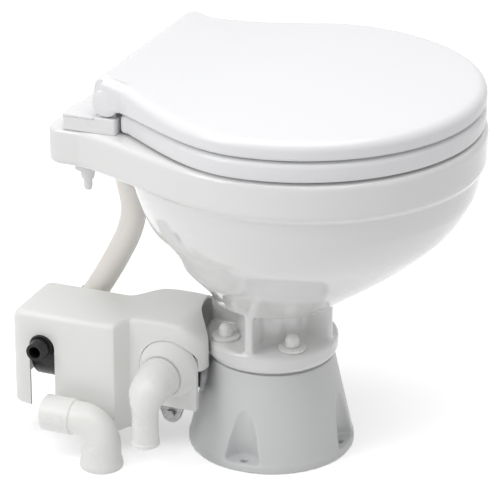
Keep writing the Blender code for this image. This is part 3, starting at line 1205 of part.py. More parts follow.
def elbow_path(start, corner, end, bend, steps=BEND_STEPS):
    """Straight, quarter bend and straight again, with rings to carry collars on both legs."""
    a, b, c = Vector(start), Vector(corner), Vector(end)
    way_in = (b - a).normalized()
    way_out = (c - b).normalized()
    centre = b - way_in * bend + way_out * bend
    first = b - way_in * bend
    last = b + way_out * bend
    arc = []
    for i in range(steps + 1):
        angle = math.pi / 2.0 * i / steps
        arc.append(centre - way_out * bend * math.cos(angle) + way_in * bend * math.sin(angle))
    return a, first, arc, last, c


def discharge_elbow(parent):
    """The swivelling discharge elbow: thick collar, round bend and hose tail with a small bead."""
    start = (BOSS_NOSE_X - 2.0 * GAP - ELBOW_SEAL_THICKNESS, DISCHARGE_Y, DISCHARGE_Z)
    corner = (ELBOW_LEG_X, DISCHARGE_Y, DISCHARGE_Z)
    end = (ELBOW_LEG_X, DISCHARGE_Y, ELBOW_END_Z)
    a, first, arc, last, c = elbow_path(start, corner, end, ELBOW_BEND_RADIUS)
    path = [a, a.lerp(first, 0.35), a.lerp(first, 0.7)]
    radii = [ELBOW_COLLAR_RADIUS, ELBOW_COLLAR_RADIUS * 0.99, ELBOW_COLLAR_RADIUS * 0.965]
    for i, point in enumerate(arc):
        path.append(point)
        share = i / (len(arc) - 1)
        if share < 0.5:
            mixed = ELBOW_COLLAR_RADIUS * 0.93 + (ELBOW_MID_RADIUS - ELBOW_COLLAR_RADIUS * 0.93) * share * 2.0
        else:
            mixed = ELBOW_MID_RADIUS + (ELBOW_LEG_RADIUS - ELBOW_MID_RADIUS) * (share * 2.0 - 1.0)
        radii.append(mixed)
    bead = ELBOW_BEAD_RADIUS - ELBOW_LEG_RADIUS
    for back, radius in ((5.0, ELBOW_LEG_RADIUS), (4.0, ELBOW_BEAD_RADIUS), (1.0, ELBOW_BEAD_RADIUS),
                         (0.0, ELBOW_LEG_RADIUS)):
        path.append(c + Z_AXIS * bead * back)
        radii.append(radius)
    bores = [ELBOW_BORE_RADIUS] * len(path)
    mesh_object("discharge_elbow", pipe(path, radii, bores, ELBOW_SIDES), "fitting_white", parent)


def spare_elbow(parent):
    """The loose elbow for a wider hose, standing on its lip."""
    start = (SPARE_X, SPARE_Y, 0.0)
    corner = (SPARE_X, SPARE_Y, SPARE_ARM_Z)
    end = (SPARE_X, SPARE_SOCKET_END, SPARE_ARM_Z)
    a, first, arc, last, c = elbow_path(start, corner, end, SPARE_BEND_RADIUS)
    lip = SPARE_LIP_HEIGHT
    path = [a, a + Z_AXIS * lip * 0.15, a + Z_AXIS * lip * 0.6, a + Z_AXIS * lip]
    radii = [SPARE_LIP_RADIUS - lip * 0.05, SPARE_LIP_RADIUS, SPARE_RADIUS * 1.06, SPARE_RADIUS]
    for i, point in enumerate(arc):
        path.append(point)
        radii.append(SPARE_RADIUS + (SPARE_ARM_RADIUS - SPARE_RADIUS) * i / (len(arc) - 1))
    socket = SPARE_SOCKET_START - SPARE_Y
    step = SPARE_SOCKET_RADIUS - SPARE_ARM_RADIUS
    for along, radius in ((socket, SPARE_ARM_RADIUS), (socket + step, SPARE_SOCKET_RADIUS),
                          (c.y - SPARE_Y - step, SPARE_SOCKET_RADIUS), (c.y - SPARE_Y, SPARE_SOCKET_RADIUS - step)):
        path.append(Vector((SPARE_X, SPARE_Y + along, SPARE_ARM_Z)))
        radii.append(radius)
    bores = [min(radius, SPARE_RADIUS) - SPARE_WALL for radius in radii]
    bores[-4:] = [SPARE_ARM_RADIUS - SPARE_WALL] * 4
    mesh_object("spare_elbow", pipe(path, radii, bores, ELBOW_SIDES), "fitting_white", parent)


def ease(value, low, high):
    t = min(max((value - low) / (high - low), 0.0), 1.0)
    return t * t * (3.0 - 2.0 * t)


def cover_section(y, shrink, wall, bottom):
    """One cross section of the cover at a depth: an upside down U with round shoulders, as a closed ring."""
    waist = ease(y, COVER_WAIST_Y - COVER_TURN_RUN, COVER_WAIST_Y)
    near = COVER_NOSE_NEAR_X + (COVER_NEAR_X - COVER_NOSE_NEAR_X) * waist + wall + shrink
    hump = 1.0 - ease(abs(y - COVER_HUMP_Y), COVER_WAIST_RUN * 0.3, COVER_WAIST_RUN * 2.4)
    wing = 1.0 - ease(y, COVER_WAIST_Y - COVER_WAIST_RUN * 0.6, COVER_WAIST_Y + COVER_WAIST_RUN * 0.6)
    far = COVER_FAR_X + (COVER_HUMP_FAR_X - COVER_FAR_X) * wing - wall - shrink
    top = COVER_TOP + COVER_HUMP_RISE * hump - wall - shrink
    near_edge = COVER_EDGE - wall
    far_edge = COVER_EDGE + (COVER_HUMP_EDGE - COVER_EDGE) * wing - wall
    lean = COVER_DRAFT_SHARE * (top - bottom)
    ring = [(near - lean, bottom)]
    for i in range(CORNER_STEPS + 1):
        angle = math.pi / 2.0 * i / CORNER_STEPS
        ring.append((near + near_edge * (1.0 - math.cos(angle)), top - near_edge * (1.0 - math.sin(angle))))
    for i in range(CORNER_STEPS + 1):
        angle = math.pi / 2.0 * (1.0 - i / CORNER_STEPS)
        ring.append((far - far_edge * (1.0 - math.cos(angle)), top - far_edge * (1.0 - math.sin(angle))))
    ring.append((far, bottom))
    return [Vector((x, y, z)) for x, z in ring]


def cover_body(wall, bottom):
    """The cover as a solid, moved inwards by a wall: rounded rear and front ends, sections between."""
    rings = []
    corner = COVER_REAR_CORNER - wall
    for i in range(CORNER_STEPS + 1):
        angle = math.pi / 2.0 * i / CORNER_STEPS
        y = COVER_REAR - wall - corner * (1.0 - math.sin(angle))
        rings.append(cover_section(y, corner * (1.0 - math.cos(angle)), wall, bottom))
    rings.reverse()
    front = COVER_FRONT + wall
    soft = COVER_FRONT_CORNER - wall
    low = front + soft
    high = COVER_REAR - wall - corner
    steps = COVER_STATIONS
    for i in range(1, steps):
        rings.append(cover_section(high + (low - high) * i / steps, 0.0, wall, bottom))
    for i in range(CORNER_STEPS + 1):
        angle = math.pi / 2.0 * i / CORNER_STEPS
        y = front + soft * (1.0 - math.sin(angle))
        rings.append(cover_section(y, soft * (1.0 - math.cos(angle)), wall, bottom))
    return rings_mesh(rings)


def pump_cover():
    """The moulded cover: a thin open-bottomed shell with port slots, a scalloped rear and a hollow for the base."""
    low = COVER_FOOT_Z
    cover = mesh_object("pump_cover", cover_body(0.0, low), "cover_white")
    cut(cover, mesh_object("cover_inside_form", cover_body(COVER_WALL, low - OVERRUN)))
    far = COVER_NEAR_X * 2.0
    near = -COVER_NEAR_X
    edge = [
        (COVER_REAR + OVERRUN, 0.0), (COVER_REAR + OVERRUN, COVER_BOTTOM_REAR),
        (COVER_WAIST_Y, COVER_BOTTOM_MIDDLE),
        (DISCHARGE_Y + BOSS_RADIUS, COVER_BOTTOM_MIDDLE),
        (DISCHARGE_Y + BOSS_RADIUS, COVER_BOTTOM_FRONT),
        (COVER_FRONT - OVERRUN, COVER_BOTTOM_FRONT), (COVER_FRONT - OVERRUN, 0.0),
    ]
    cut(cover, mesh_object("cover_edge_form", extruded(edge, far, near, 0)))
    hollow = CONE_TOP_RADIUS + (CONE_FOOT_RADIUS - CONE_TOP_RADIUS) * BASE_HEIGHT / (BASE_HEIGHT - PLINTH_HEIGHT)
    clear = COVER_BASE_CLEARANCE
    cut(cover, mesh_object("cover_hollow_form", turned([
        (hollow + clear, -OVERRUN), (CONE_TOP_RADIUS + clear + FLANGE_EDGE, BASE_HEIGHT - FLANGE_THICKNESS),
        (FLANGE_RADIUS + clear, BASE_HEIGHT), (FLANGE_RADIUS + clear, FLANGE_TOP + NECK_HEIGHT * 1.5),
    ], steps=NECK_STEPS)))
    slot = COVER_SLOT_RADIUS
    cut(cover, mesh_object("port_slot_round", rod((far, PORT_Y, COVER_SLOT_Z), X_AXIS, near - far, slot)))
    cut(cover, mesh_object("port_slot_straight", block((far, PORT_Y - slot, 0.0), (near, PORT_Y + slot, COVER_SLOT_Z))))
    mouth = BOSS_RADIUS + 2.0 * GAP
    middle = DISCHARGE_SEAT_X
    cut(cover, mesh_object("boss_slot_round", rod((middle, DISCHARGE_Y, DISCHARGE_Z), -X_AXIS, near, mouth)))
    cut(cover, mesh_object("boss_slot_straight", block((far, DISCHARGE_Y - mouth, 0.0),
                                                       (middle, DISCHARGE_Y + mouth, DISCHARGE_Z))))
    cut(cover, mesh_object("rear_arch_form", rod((PUMP_X, COVER_REAR - COVER_REAR_CORNER, COVER_ARCH_Z), Y_AXIS,
                                                 COVER_REAR, COVER_ARCH_RADIUS)))
    for i, (y, radius) in enumerate(((PUMP_FRONT + PUMP_WALL * 2.0, PUMP_RADIUS),
                                     (MOTOR_FRONT + MOTOR_REAR_WALL * 3.0, MOTOR_RADIUS))):
        foot = PUMP_Z + radius + GAP
        post = rod((PUMP_X, y, foot), Z_AXIS, COVER_TOP - COVER_WALL / 2.0 - foot, COVER_POST_RADIUS, SMALL_ROUND_STEPS)
        fuse(cover, mesh_object(f"cover_post_form_{i}", post))


def rinse_hose():
    """The white rinse hose with a clamp at each end."""
    lean = Vector(HOSE_LEAN).normalized()
    elbow = Vector((OUTLET_ELBOW_X, PORT_Y, PORT_Z))
    start = elbow + lean * (HOSE_LEAN_START + OVERRUN)
    route = smooth_route((start, *HOSE_ROUTE), HOSE_STEPS)
    count = len(route)
    bore = (max(OUTLET_ELBOW_RADIUS, INLET_SPIGOT_RADIUS) + GAP) / math.cos(math.pi / HOSE_SIDES)
    mesh_object("rinse_hose", pipe(route, [HOSE_RADIUS] * count, [bore] * count, HOSE_SIDES), "hose_white")
    inner = (HOSE_RADIUS + GAP) / math.cos(math.pi / ROUND_STEPS)
    top = Vector(HOSE_ROUTE[-1]) - Z_AXIS * (CLAMP_WIDTH + OVERRUN)
    for word, place, way in (("bottom", start + lean * OVERRUN, lean), ("top", top, Z_AXIS)):
        at = axis_matrix(place, way)
        clamp = mesh_object(f"hose_clamp_{word}", turned([
            (inner, 0.0), (CLAMP_RADIUS, 0.0), (CLAMP_RADIUS, CLAMP_WIDTH), (inner, CLAMP_WIDTH),
        ], at, closed=True), "stainless")
        housing = block((CLAMP_RADIUS - OVERRUN / 2.0, -CLAMP_HOUSING, CLAMP_WIDTH * 0.1),
                        (CLAMP_RADIUS + CLAMP_HOUSING, CLAMP_HOUSING, CLAMP_WIDTH * 0.9))
        frame = Matrix((X_AXIS, way.cross(X_AXIS), way)).transposed().to_4x4()
        bmesh.ops.transform(housing, matrix=Matrix.Translation(place) @ frame, verts=housing.verts)
        fuse(clamp, mesh_object(f"clamp_housing_form_{word}", housing))


def build():
    clear_scene()
    seat_axis = empty("seat_hinge_axis", (0.0, HINGE_AXIS_Y, HINGE_AXIS_Z))
    shaft_axis = empty("motor_shaft_axis", (PUMP_X, SHAFT_FRONT, PUMP_Z))
    elbow_axis = empty("elbow_swivel_axis", (BOSS_NOSE_X, DISCHARGE_Y, DISCHARGE_Z))
    spare_axis = empty("spare_elbow_place", (SPARE_X, SPARE_Y, 0.0))
    base()
    base_gasket()
    bowl()
    flange_fasteners()
    for side, word in ((-1.0, "left"), (1.0, "right")):
        hinge(side, word)
    seat(seat_axis)
    lid(seat_axis)
    rinse_pump()
    motor()
    shaft_group(shaft_axis)
    macerator()
    discharge()
    discharge_elbow(elbow_axis)
    spare_elbow(spare_axis)
    pump_cover()
    rinse_hose()


build()
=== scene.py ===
"""Electric marine toilet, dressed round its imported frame: fine forms, materials, light and camera.

Metres, +Z up, in the frame of the CAD solids: origin on the floor under the base, front along -Y.
"""
import json
import math

import bmesh
import bpy
from mathutils import Matrix, Vector

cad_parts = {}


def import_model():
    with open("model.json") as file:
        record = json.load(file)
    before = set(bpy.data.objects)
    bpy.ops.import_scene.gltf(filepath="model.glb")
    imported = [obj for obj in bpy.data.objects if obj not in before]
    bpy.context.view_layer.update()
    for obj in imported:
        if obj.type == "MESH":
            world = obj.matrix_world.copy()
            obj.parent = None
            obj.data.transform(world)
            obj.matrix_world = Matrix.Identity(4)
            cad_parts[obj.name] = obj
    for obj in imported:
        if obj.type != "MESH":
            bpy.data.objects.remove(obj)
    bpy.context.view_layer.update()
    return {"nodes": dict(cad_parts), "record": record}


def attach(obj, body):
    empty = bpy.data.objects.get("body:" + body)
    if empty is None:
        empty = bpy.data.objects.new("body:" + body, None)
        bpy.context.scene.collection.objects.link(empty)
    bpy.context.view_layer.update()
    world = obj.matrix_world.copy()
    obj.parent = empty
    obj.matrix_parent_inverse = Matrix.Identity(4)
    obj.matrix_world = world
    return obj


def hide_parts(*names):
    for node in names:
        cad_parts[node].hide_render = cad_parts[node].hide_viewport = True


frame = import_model()

# Clearances
GAP = 0.0003
PIN_CLEARANCE = 0.0002
OVERRUN = 0.002

# Smoothness of round shapes
ROUND_STEPS = 64
SMALL_ROUND_STEPS = 40
RIM_ARC_STEPS = 96
RIM_SIDE_STEPS = 24
CORNER_STEPS = 8
BOWL_STEPS = 120
NECK_STEPS = 96
BEND_STEPS = 20
ELBOW_SIDES = 56
COVER_STATIONS = 64
EDGE_STEPS = 8
SHELL_RINGS = 48

# Base: conical pedestal with a plinth, four floor bolt pockets and a waste outlet boss
BASE_HEIGHT = 0.0928
PLINTH_RADIUS = 0.079
PLINTH_HEIGHT = 0.008
CONE_FOOT_RADIUS = 0.078
CONE_TOP_RADIUS = 0.0592
SUMP_FLOOR = 0.014
SUMP_FOOT_RADIUS = 0.053
SUMP_SHOULDER_RADIUS = 0.040
SUMP_MOUTH_RADIUS = 0.030
BASE_TOP_THICKNESS = 0.014
FOOT_POCKET_OFFSET = 0.0775
FOOT_POCKET_RADIUS = 0.0175
FOOT_POCKET_TOP_RADIUS = 0.009
FOOT_POCKET_TOP = BASE_HEIGHT - 0.0148
FOOT_HOLE_OFFSET = 0.0695
FOOT_HOLE_RADIUS = 0.0035
OUTLET_HEIGHT = BASE_HEIGHT - 0.0228
OUTLET_ANGLE = math.radians(116.6)
OUTLET_REACH = 0.069
OUTLET_BOSS_RADIUS = 0.015
OUTLET_BORE_RADIUS = 0.010

# Gasket between base and bowl flange
BASE_GASKET_THICKNESS = 0.0011
BASE_GASKET_RADIUS = 0.0586

# Bowl: flange, ribbed neck, china shell and rim
FLANGE_RADIUS = 0.0630
FLANGE_THICKNESS = 0.0187
FLANGE_FOOT_DRAW = 0.0028
FLANGE_EDGE = 0.0025
NECK_RADIUS = 0.0336
NECK_HEIGHT = 0.037
NECK_FILLET = 0.011
RIB_REACH = 0.0600
RIB_THICKNESS = 0.008
WASTE_PASSAGE_RADIUS = 0.026
BOWL_RADIUS = 0.166
BOWL_CENTRE = 0.031
BOWL_WALL = 0.0105
BOWL_HEIGHT = 0.1433
RIM_HEIGHT = 0.0355
RIM_EDGE = 0.0045
HINGE_AXIS_Y = BOWL_RADIUS - BOWL_CENTRE - 0.017
MOUTH_HALF_WIDTH = BOWL_RADIUS - 0.048
MOUTH_HALF_LENGTH = BOWL_RADIUS - 0.036
MOUTH_CENTRE = 0.034
# Bowl outside: share of the bowl's height, share of its radius, share of its centre's set-forward
BOWL_STATION_SHARES = (
    (0.000, 0.349, 0.06),
    (0.040, 0.380, 0.19),
    (0.090, 0.425, 0.31),
    (0.175, 0.508, 0.43),
    (0.285, 0.614, 0.57),
    (0.425, 0.724, 0.79),
    (0.600, 0.852, 0.94),
    (0.790, 0.932, 1.04),
    (0.930, 0.962, 1.05),
    (1.060, 0.978, 1.05),
)
# Bowl inside: share of the bowl's height, share of its inner radius, share of the set-forward
CAVITY_STATION_SHARES = (
    (0.060, 0.190, 0.10),
    (0.120, 0.330, 0.33),
    (0.200, 0.440, 0.43),
    (0.310, 0.575, 0.57),
    (0.450, 0.700, 0.79),
    (0.620, 0.835, 0.94),
    (0.800, 0.915, 1.04),
    (0.960, 0.950, 1.05),
    (1.080, 0.950, 1.05),
)

# Bolts that hold the flange to the base
FLANGE_BOLT_CIRCLE = 0.0470
FLANGE_BOLT_RADIUS = 0.0035
FLANGE_BOLT_DEPTH = 0.010
BOLT_HEAD_RADIUS = 0.0047
BOLT_HEAD_HEIGHT = 0.004
FLANGE_WASHER_RADIUS = 0.0130
FLANGE_WASHER_THICKNESS = 0.0024
CAP_RADIUS = 0.0066
CAP_HEIGHT = 0.0115

# Hinge: brackets on the shelf, pins, bolts and nuts
HINGE_AXIS_RISE = 0.029
HINGE_OFFSET = 0.088
HINGE_PIN_RADIUS = 0.003
HINGE_PIN_INNER = 0.0768
HINGE_PIN_OUTER = 0.1050
BRACKET_LIFT = 0.0003
BRACKET_HEIGHT = 0.0147
BRACKET_INNER = 0.073
BRACKET_OUTER = 0.107
BRACKET_FRONT = HINGE_AXIS_Y - 0.010
BRACKET_REAR = HINGE_AXIS_Y + 0.042
BRACKET_EDGE = 0.0025
BRACKET_BOLT_Y = HINGE_AXIS_Y + 0.027
BRACKET_CAP_FRONT = HINGE_AXIS_Y + 0.0105
BRACKET_CAP_THICKNESS = 0.0026
KNUCKLE_RADIUS = 0.0075
KNUCKLE_INNER = 0.0912
KNUCKLE_OUTER = 0.1008
SEAT_KNUCKLE_INNER = 0.0802
SEAT_KNUCKLE_OUTER = 0.0900
HINGE_BOLT_RADIUS = 0.004
HINGE_BOLT_HEAD_RADIUS = 0.0080
HINGE_BOLT_HEAD_HEIGHT = 0.0042
HINGE_BOLT_HOLE_RADIUS = 0.0048
HINGE_BOLT_END_DROP = 0.027
HINGE_NUT_HEIGHT = 0.0155
HINGE_NUT_RADIUS = 0.0115
HINGE_NUT_WAIST_RADIUS = 0.0058

# Seat ring
SEAT_LIFT = 0.002
SEAT_THICKNESS = 0.018
SEAT_EDGE = 0.006
SEAT_RADIUS = BOWL_RADIUS + 0.0005
SEAT_CENTRE = 0.028
SEAT_HOLE_HALF_WIDTH = SEAT_RADIUS - 0.0635
SEAT_HOLE_HALF_LENGTH = SEAT_RADIUS - 0.0445
SEAT_HOLE_CENTRE = 0.034
SEAT_BUMPER_RADIUS = 0.009
SEAT_BUMPER_CIRCLE = BOWL_RADIUS - 0.027

# Lid
LID_LIFT = 0.002
LID_THICKNESS = 0.0165
LID_EDGE = 0.009
LID_FOOT_EDGE = 0.004
LID_CROWN = 0.0015
LID_RECESS = 0.0080
LID_WALL = 0.020
LID_REAR_HALF_WIDTH = 0.107
LID_REAR_RISE = 0.0145
LID_RISE_START = HINGE_AXIS_Y - 0.108
LID_RISE_END = HINGE_AXIS_Y + 0.002
LID_BARREL_RADIUS = 0.013
LID_BARREL_EDGE = 0.003
LID_SLOT_INNER = 0.0790
LID_SLOT_OUTER = 0.1022
LID_SLOT_RADIUS = 0.0088
LID_SLOT_REACH = 0.018
LID_BUMPER_RADIUS = 0.006
LID_BUMPER_CIRCLE = SEAT_RADIUS - 0.0135

# Pump unit: everything on one shaft along Y
PUMP_X = -0.0515
PUMP_Z = 0.0872
PUMP_REAR = 0.2095
PUMP_FRONT = 0.1775
PUMP_RADIUS = 0.032
PUMP_CHAMBER_RADIUS = 0.024
PUMP_WALL = 0.004
END_PLATE_THICKNESS = 0.003
PORT_Y = 0.1975
PORT_Z = 0.0990
PORT_NECK_RADIUS = 0.0115
PORT_NECK_REACH = -0.0920
PORT_BARB_RADIUS = 0.0098
PORT_BARB_START = -0.0955
PORT_TUBE_RADIUS = 0.0086
PORT_MOUTH = -0.1045
PORT_BORE_RADIUS = 0.0058
OUTLET_ELBOW_X = 0.0008
OUTLET_ELBOW_RADIUS = 0.0080
MOTOR_RADIUS = 0.031
MOTOR_WALL = 0.0025
MOTOR_FRONT = 0.1265
MOTOR_REAR_WALL = 0.006
MOTOR_FLANGE_THICKNESS = 0.005
SHAFT_RADIUS = 0.004
BEARING_RADIUS = 0.010
BEARING_WIDTH = 0.0044
SEAL_RADIUS = 0.0065
MACERATOR_FRONT = 0.0640
MACERATOR_RADIUS = 0.030
MACERATOR_WALL = 0.004
MACERATOR_CHAMBER_RADIUS = 0.020
MACERATOR_CHAMBER_LENGTH = 0.0255
MACERATOR_NECK_RADIUS = 0.0118
MACERATOR_STUB_RADIUS = 0.014
MACERATOR_STUB_LENGTH = 0.026

# Discharge: plate on the macerator, moulded boss and swivelling elbow, all on one axis along X
DISCHARGE_Y = 0.0755
DISCHARGE_Z = 0.0896
DISCHARGE_SEAT_X = -0.0640
DISCHARGE_GASKET_THICKNESS = 0.0011
PLATE_THICKNESS = 0.0016
PLATE_RADIUS = 0.0265
PLATE_BORE_RADIUS = 0.0125
EAR_RADIUS = 0.0095
EAR_Z = 0.0415
EAR_Y = 0.0752
PLATE_BOLT_RADIUS = 0.0045
PLATE_BOLT_HEAD = 0.0035
PLATE_BOLT_SHANK = 0.0021
BOSS_RADIUS = 0.0285
BOSS_NOSE_RADIUS = 0.0212
BOSS_NOSE_X = -0.0885
BOSS_FOOT_Z = 0.0515
BOSS_SHOULDER_X = -0.0735
ELBOW_COLLAR_RADIUS = 0.0195
ELBOW_MID_RADIUS = 0.0172
ELBOW_LEG_RADIUS = 0.0124
ELBOW_BEAD_RADIUS = 0.0133
ELBOW_BORE_RADIUS = 0.0098
ELBOW_LEG_X = -0.1250
ELBOW_BEND_RADIUS = 0.018
ELBOW_END_Z = 0.0370
ELBOW_SEAL_THICKNESS = 0.0009
ELBOW_SEAL_RADIUS = 0.0188

# Spare elbow for a wider hose, supplied loose
SPARE_X = -0.1135
SPARE_Y = 0.1264
SPARE_RADIUS = 0.0187
SPARE_ARM_RADIUS = 0.0157
SPARE_WALL = 0.0026
SPARE_LIP_RADIUS = 0.0207
SPARE_LIP_HEIGHT = 0.010
SPARE_ARM_Z = 0.0445
SPARE_BEND_RADIUS = 0.022
SPARE_SOCKET_START = 0.1526
SPARE_SOCKET_RADIUS = 0.0171
SPARE_SOCKET_END = 0.1835

# Cover over the pump unit
COVER_WALL = 0.0025
COVER_TOP = 0.1325
COVER_NEAR_X = -0.0890
COVER_FAR_X = -0.0145
COVER_REAR = 0.2305
COVER_REAR_CORNER = 0.012
COVER_EDGE = 0.0065
COVER_DRAFT_SHARE = 0.012
COVER_FOOT_Z = 0.008
COVER_BOTTOM_REAR = 0.0390
COVER_BOTTOM_MIDDLE = 0.0235
COVER_BOTTOM_FRONT = 0.0880
COVER_FRONT = 0.0440
COVER_FRONT_CORNER = 0.022
COVER_WAIST_Y = 0.1245
COVER_TURN_RUN = 0.012
COVER_WAIST_RUN = 0.024
COVER_NOSE_NEAR_X = -0.0725
COVER_HUMP_Y = 0.0860
COVER_HUMP_RISE = 0.0045
COVER_HUMP_FAR_X = 0.0200
COVER_HUMP_EDGE = 0.024
COVER_BASE_CLEARANCE = 0.003
COVER_SLOT_RADIUS = 0.0130
COVER_SLOT_Z = 0.0977
COVER_ARCH_RADIUS = 0.0310
COVER_ARCH_Z = 0.0220
COVER_POST_RADIUS = 0.005

# Rinse hose from the pump to the inlet under the shelf, held at both ends
HOSE_RADIUS = 0.0122
HOSE_STEPS = 80
HOSE_SIDES = 36
HOSE_LEAN = (0.0, -0.539, 0.842)
HOSE_LEAN_START = 0.010
HOSE_LEAN_GRIP = 0.015
INLET_Y = HINGE_AXIS_Y + 0.032
# Route: share of the outlet's X, of the way in Y from inlet back to port, of the height to the shelf
HOSE_ROUTE_SHARES = (
    (1.0, 0.583, 0.1604),
    (1.0, 0.368, 0.2488),
    (1.0, 0.120, 0.3604),
    (0.8, -0.103, 0.4802),
    (0.5, -0.194, 0.5995),
    (0.0, -0.116, 0.7147),
    (0.0, 0.000, 0.8278),
    (0.0, 0.000, 0.8895),
)
INLET_SPIGOT_RADIUS = 0.0080
INLET_SPIGOT_LENGTH = 0.028
CLAMP_RADIUS = 0.0131
CLAMP_WIDTH = 0.008
CLAMP_HOUSING = 0.006

# Heights that follow from the stack
GASKET_Z = BASE_HEIGHT + GAP
FLANGE_Z = GASKET_Z + BASE_GASKET_THICKNESS + GAP
FLANGE_TOP = FLANGE_Z + FLANGE_THICKNESS
BOWL_Z = FLANGE_TOP + NECK_HEIGHT
SHELF_Z = BOWL_Z + BOWL_HEIGHT
RIM_TOP = SHELF_Z + RIM_HEIGHT
SEAT_Z = RIM_TOP + SEAT_LIFT
SEAT_TOP = SEAT_Z + SEAT_THICKNESS
LID_Z = SEAT_TOP + LID_LIFT
LID_TOP = LID_Z + LID_THICKNESS
HINGE_AXIS_Z = RIM_TOP + HINGE_AXIS_RISE
BRACKET_Z = RIM_TOP + BRACKET_LIFT
BRACKET_TOP = BRACKET_Z + BRACKET_HEIGHT
BOSS_SEAT_X = DISCHARGE_SEAT_X - DISCHARGE_GASKET_THICKNESS - PLATE_THICKNESS - 3.0 * GAP

HOSE_ROUTE = [
    (across * OUTLET_ELBOW_X, INLET_Y + back * (PORT_Y - INLET_Y), PORT_Z + rise * (SHELF_Z - PORT_Z))
    for across, back, rise in HOSE_ROUTE_SHARES
]

# Outlines: radius and centre of the front, pull and easing point of the sides, shoulder, rear and its corners
BOWL_OUTLINE = (
    BOWL_RADIUS, BOWL_CENTRE, 0.066, (BOWL_RADIUS - 0.044, HINGE_AXIS_Y - 0.028),
    (0.108, HINGE_AXIS_Y + 0.026), HINGE_AXIS_Y + 0.060, 0.014,
)
SEAT_FRONT = (SEAT_RADIUS, SEAT_CENTRE, 0.045, (SEAT_RADIUS - 0.0345, HINGE_AXIS_Y - 0.060))
SEAT_OUTLINE = (*SEAT_FRONT, (0.104, HINGE_AXIS_Y - 0.020), HINGE_AXIS_Y - 0.0115, 0.008)
LID_OUTLINE = (*SEAT_FRONT, (LID_REAR_HALF_WIDTH, HINGE_AXIS_Y - 0.014), HINGE_AXIS_Y + 0.011, 0.014)

# Root of the seat's lugs, as Y and Z
SEAT_LUG_ROOT = [(HINGE_AXIS_Y - 0.018, SEAT_Z + 0.009), (HINGE_AXIS_Y - 0.018, SEAT_Z + 0.0140)]

# Rounds that the lid's cheek is drawn about: Y, Z, radius
LID_CHEEK = [
    (HINGE_AXIS_Y, HINGE_AXIS_Z, LID_BARREL_RADIUS),
    (HINGE_AXIS_Y + 0.0045, HINGE_AXIS_Z + 0.0160, 0.0055),
    (HINGE_AXIS_Y - 0.012, HINGE_AXIS_Z + 0.0131, 0.0055),
]

# Edges and finer forms
SHARP_ANGLE = math.radians(38.0)
SOFT_SHARE = 0.3
NUB_DEGREES = (118.0, 88.0, 58.0, -14.0)
NUB_RADIUS = 0.0016
NUB_LENGTH = 0.0024
NUB_SHARE = 0.90
LID_TOP_SHARES = (0.93, 0.90, 0.86, 0.82, 0.77, 0.72, 0.66, 0.60, 0.52, 0.44, 0.34, 0.24, 0.14, 0.04)

# Steps along the elbow's collar: share of the way to the bend, share of the collar's radius
ELBOW_COLLAR_STATIONS = ((0.0, 1.0), (0.35, 0.99), (0.7, 0.965))
ELBOW_NECK_SHARE = 0.93

# Spare elbow's lip: share of its height, radius
SPARE_LIP_STATIONS = (
    (0.0, SPARE_LIP_RADIUS - SPARE_LIP_HEIGHT * 0.05), (0.15, SPARE_LIP_RADIUS),
    (0.6, SPARE_RADIUS * 1.06), (1.0, SPARE_RADIUS),
)

# Cover: from where to where its hump falls away, and half the length on which its wing ends
COVER_HUMP_RUN = (COVER_WAIST_RUN * 0.3, COVER_WAIST_RUN * 2.4)
COVER_WING_RUN = COVER_WAIST_RUN * 0.6
COVER_HOLLOW_TOP = FLANGE_TOP + NECK_HEIGHT * 1.5

# Small proportions
BOSS_SOFT_RADIUS = BOSS_RADIUS * 0.95
BOSS_SOFT_SHARE = 0.2
BOSS_BEND_RADIUS = BOSS_NOSE_RADIUS * 1.08
BOSS_BEND_SHARE = 0.80
CLAMP_MARGIN = CLAMP_WIDTH * 0.1
CAVITY_WALL_SHARE = 0.3
PASSAGE_PAST_BOWL = BOWL_WALL * 1.5
MOTOR_BORE_RADIUS = SHAFT_RADIUS + PUMP_WALL * 0.25
LID_FOOT_BACK = LID_FOOT_EDGE * 0.4
LID_FOOT_UP = LID_FOOT_EDGE * 0.5
SEAT_BUMPER_DEGREES = (40.0, 140.0, 215.0, 325.0)
LID_BUMPER_DEGREES = (270.0, 205.0, 335.0)
INLET_REACH_SHARE = 0.6
HEXAGON = 6

# Cap over a flange bolt, in shares of its radius: where its dome starts, its rounds as width and rise, its tip
CAP_DOME_SHARE = 0.8
CAP_DOME = ((0.80, 0.48), (0.40, 0.74))
CAP_TIP_SHARE = 0.08

# Hinge bolt's tip, and its wing nut: radius, share of the nut's height below the shelf
HINGE_BOLT_TIP_SHARE = 0.75
HINGE_NUT_STATIONS = (
    (HINGE_NUT_WAIST_RADIUS, 1.0), (HINGE_NUT_WAIST_RADIUS * 1.2, 0.55), (HINGE_NUT_RADIUS, 0.40),
)

# Materials
EVEN = (1.0, 1.0, 1.0)
NOISE_LOW = 0.35
NOISE_HIGH = 0.65
DRIFT_DETAIL = 3.0
GLOSS_DETAIL = 4.0
WAVE_DETAIL = 1.0
GRAIN_DETAIL = 2.0
WAVE_DISTANCE = 0.004
GRAIN_DISTANCE = 0.0003
COAT_ROUGHNESS = 0.05
SUBSURFACE_DEPTH = 0.004

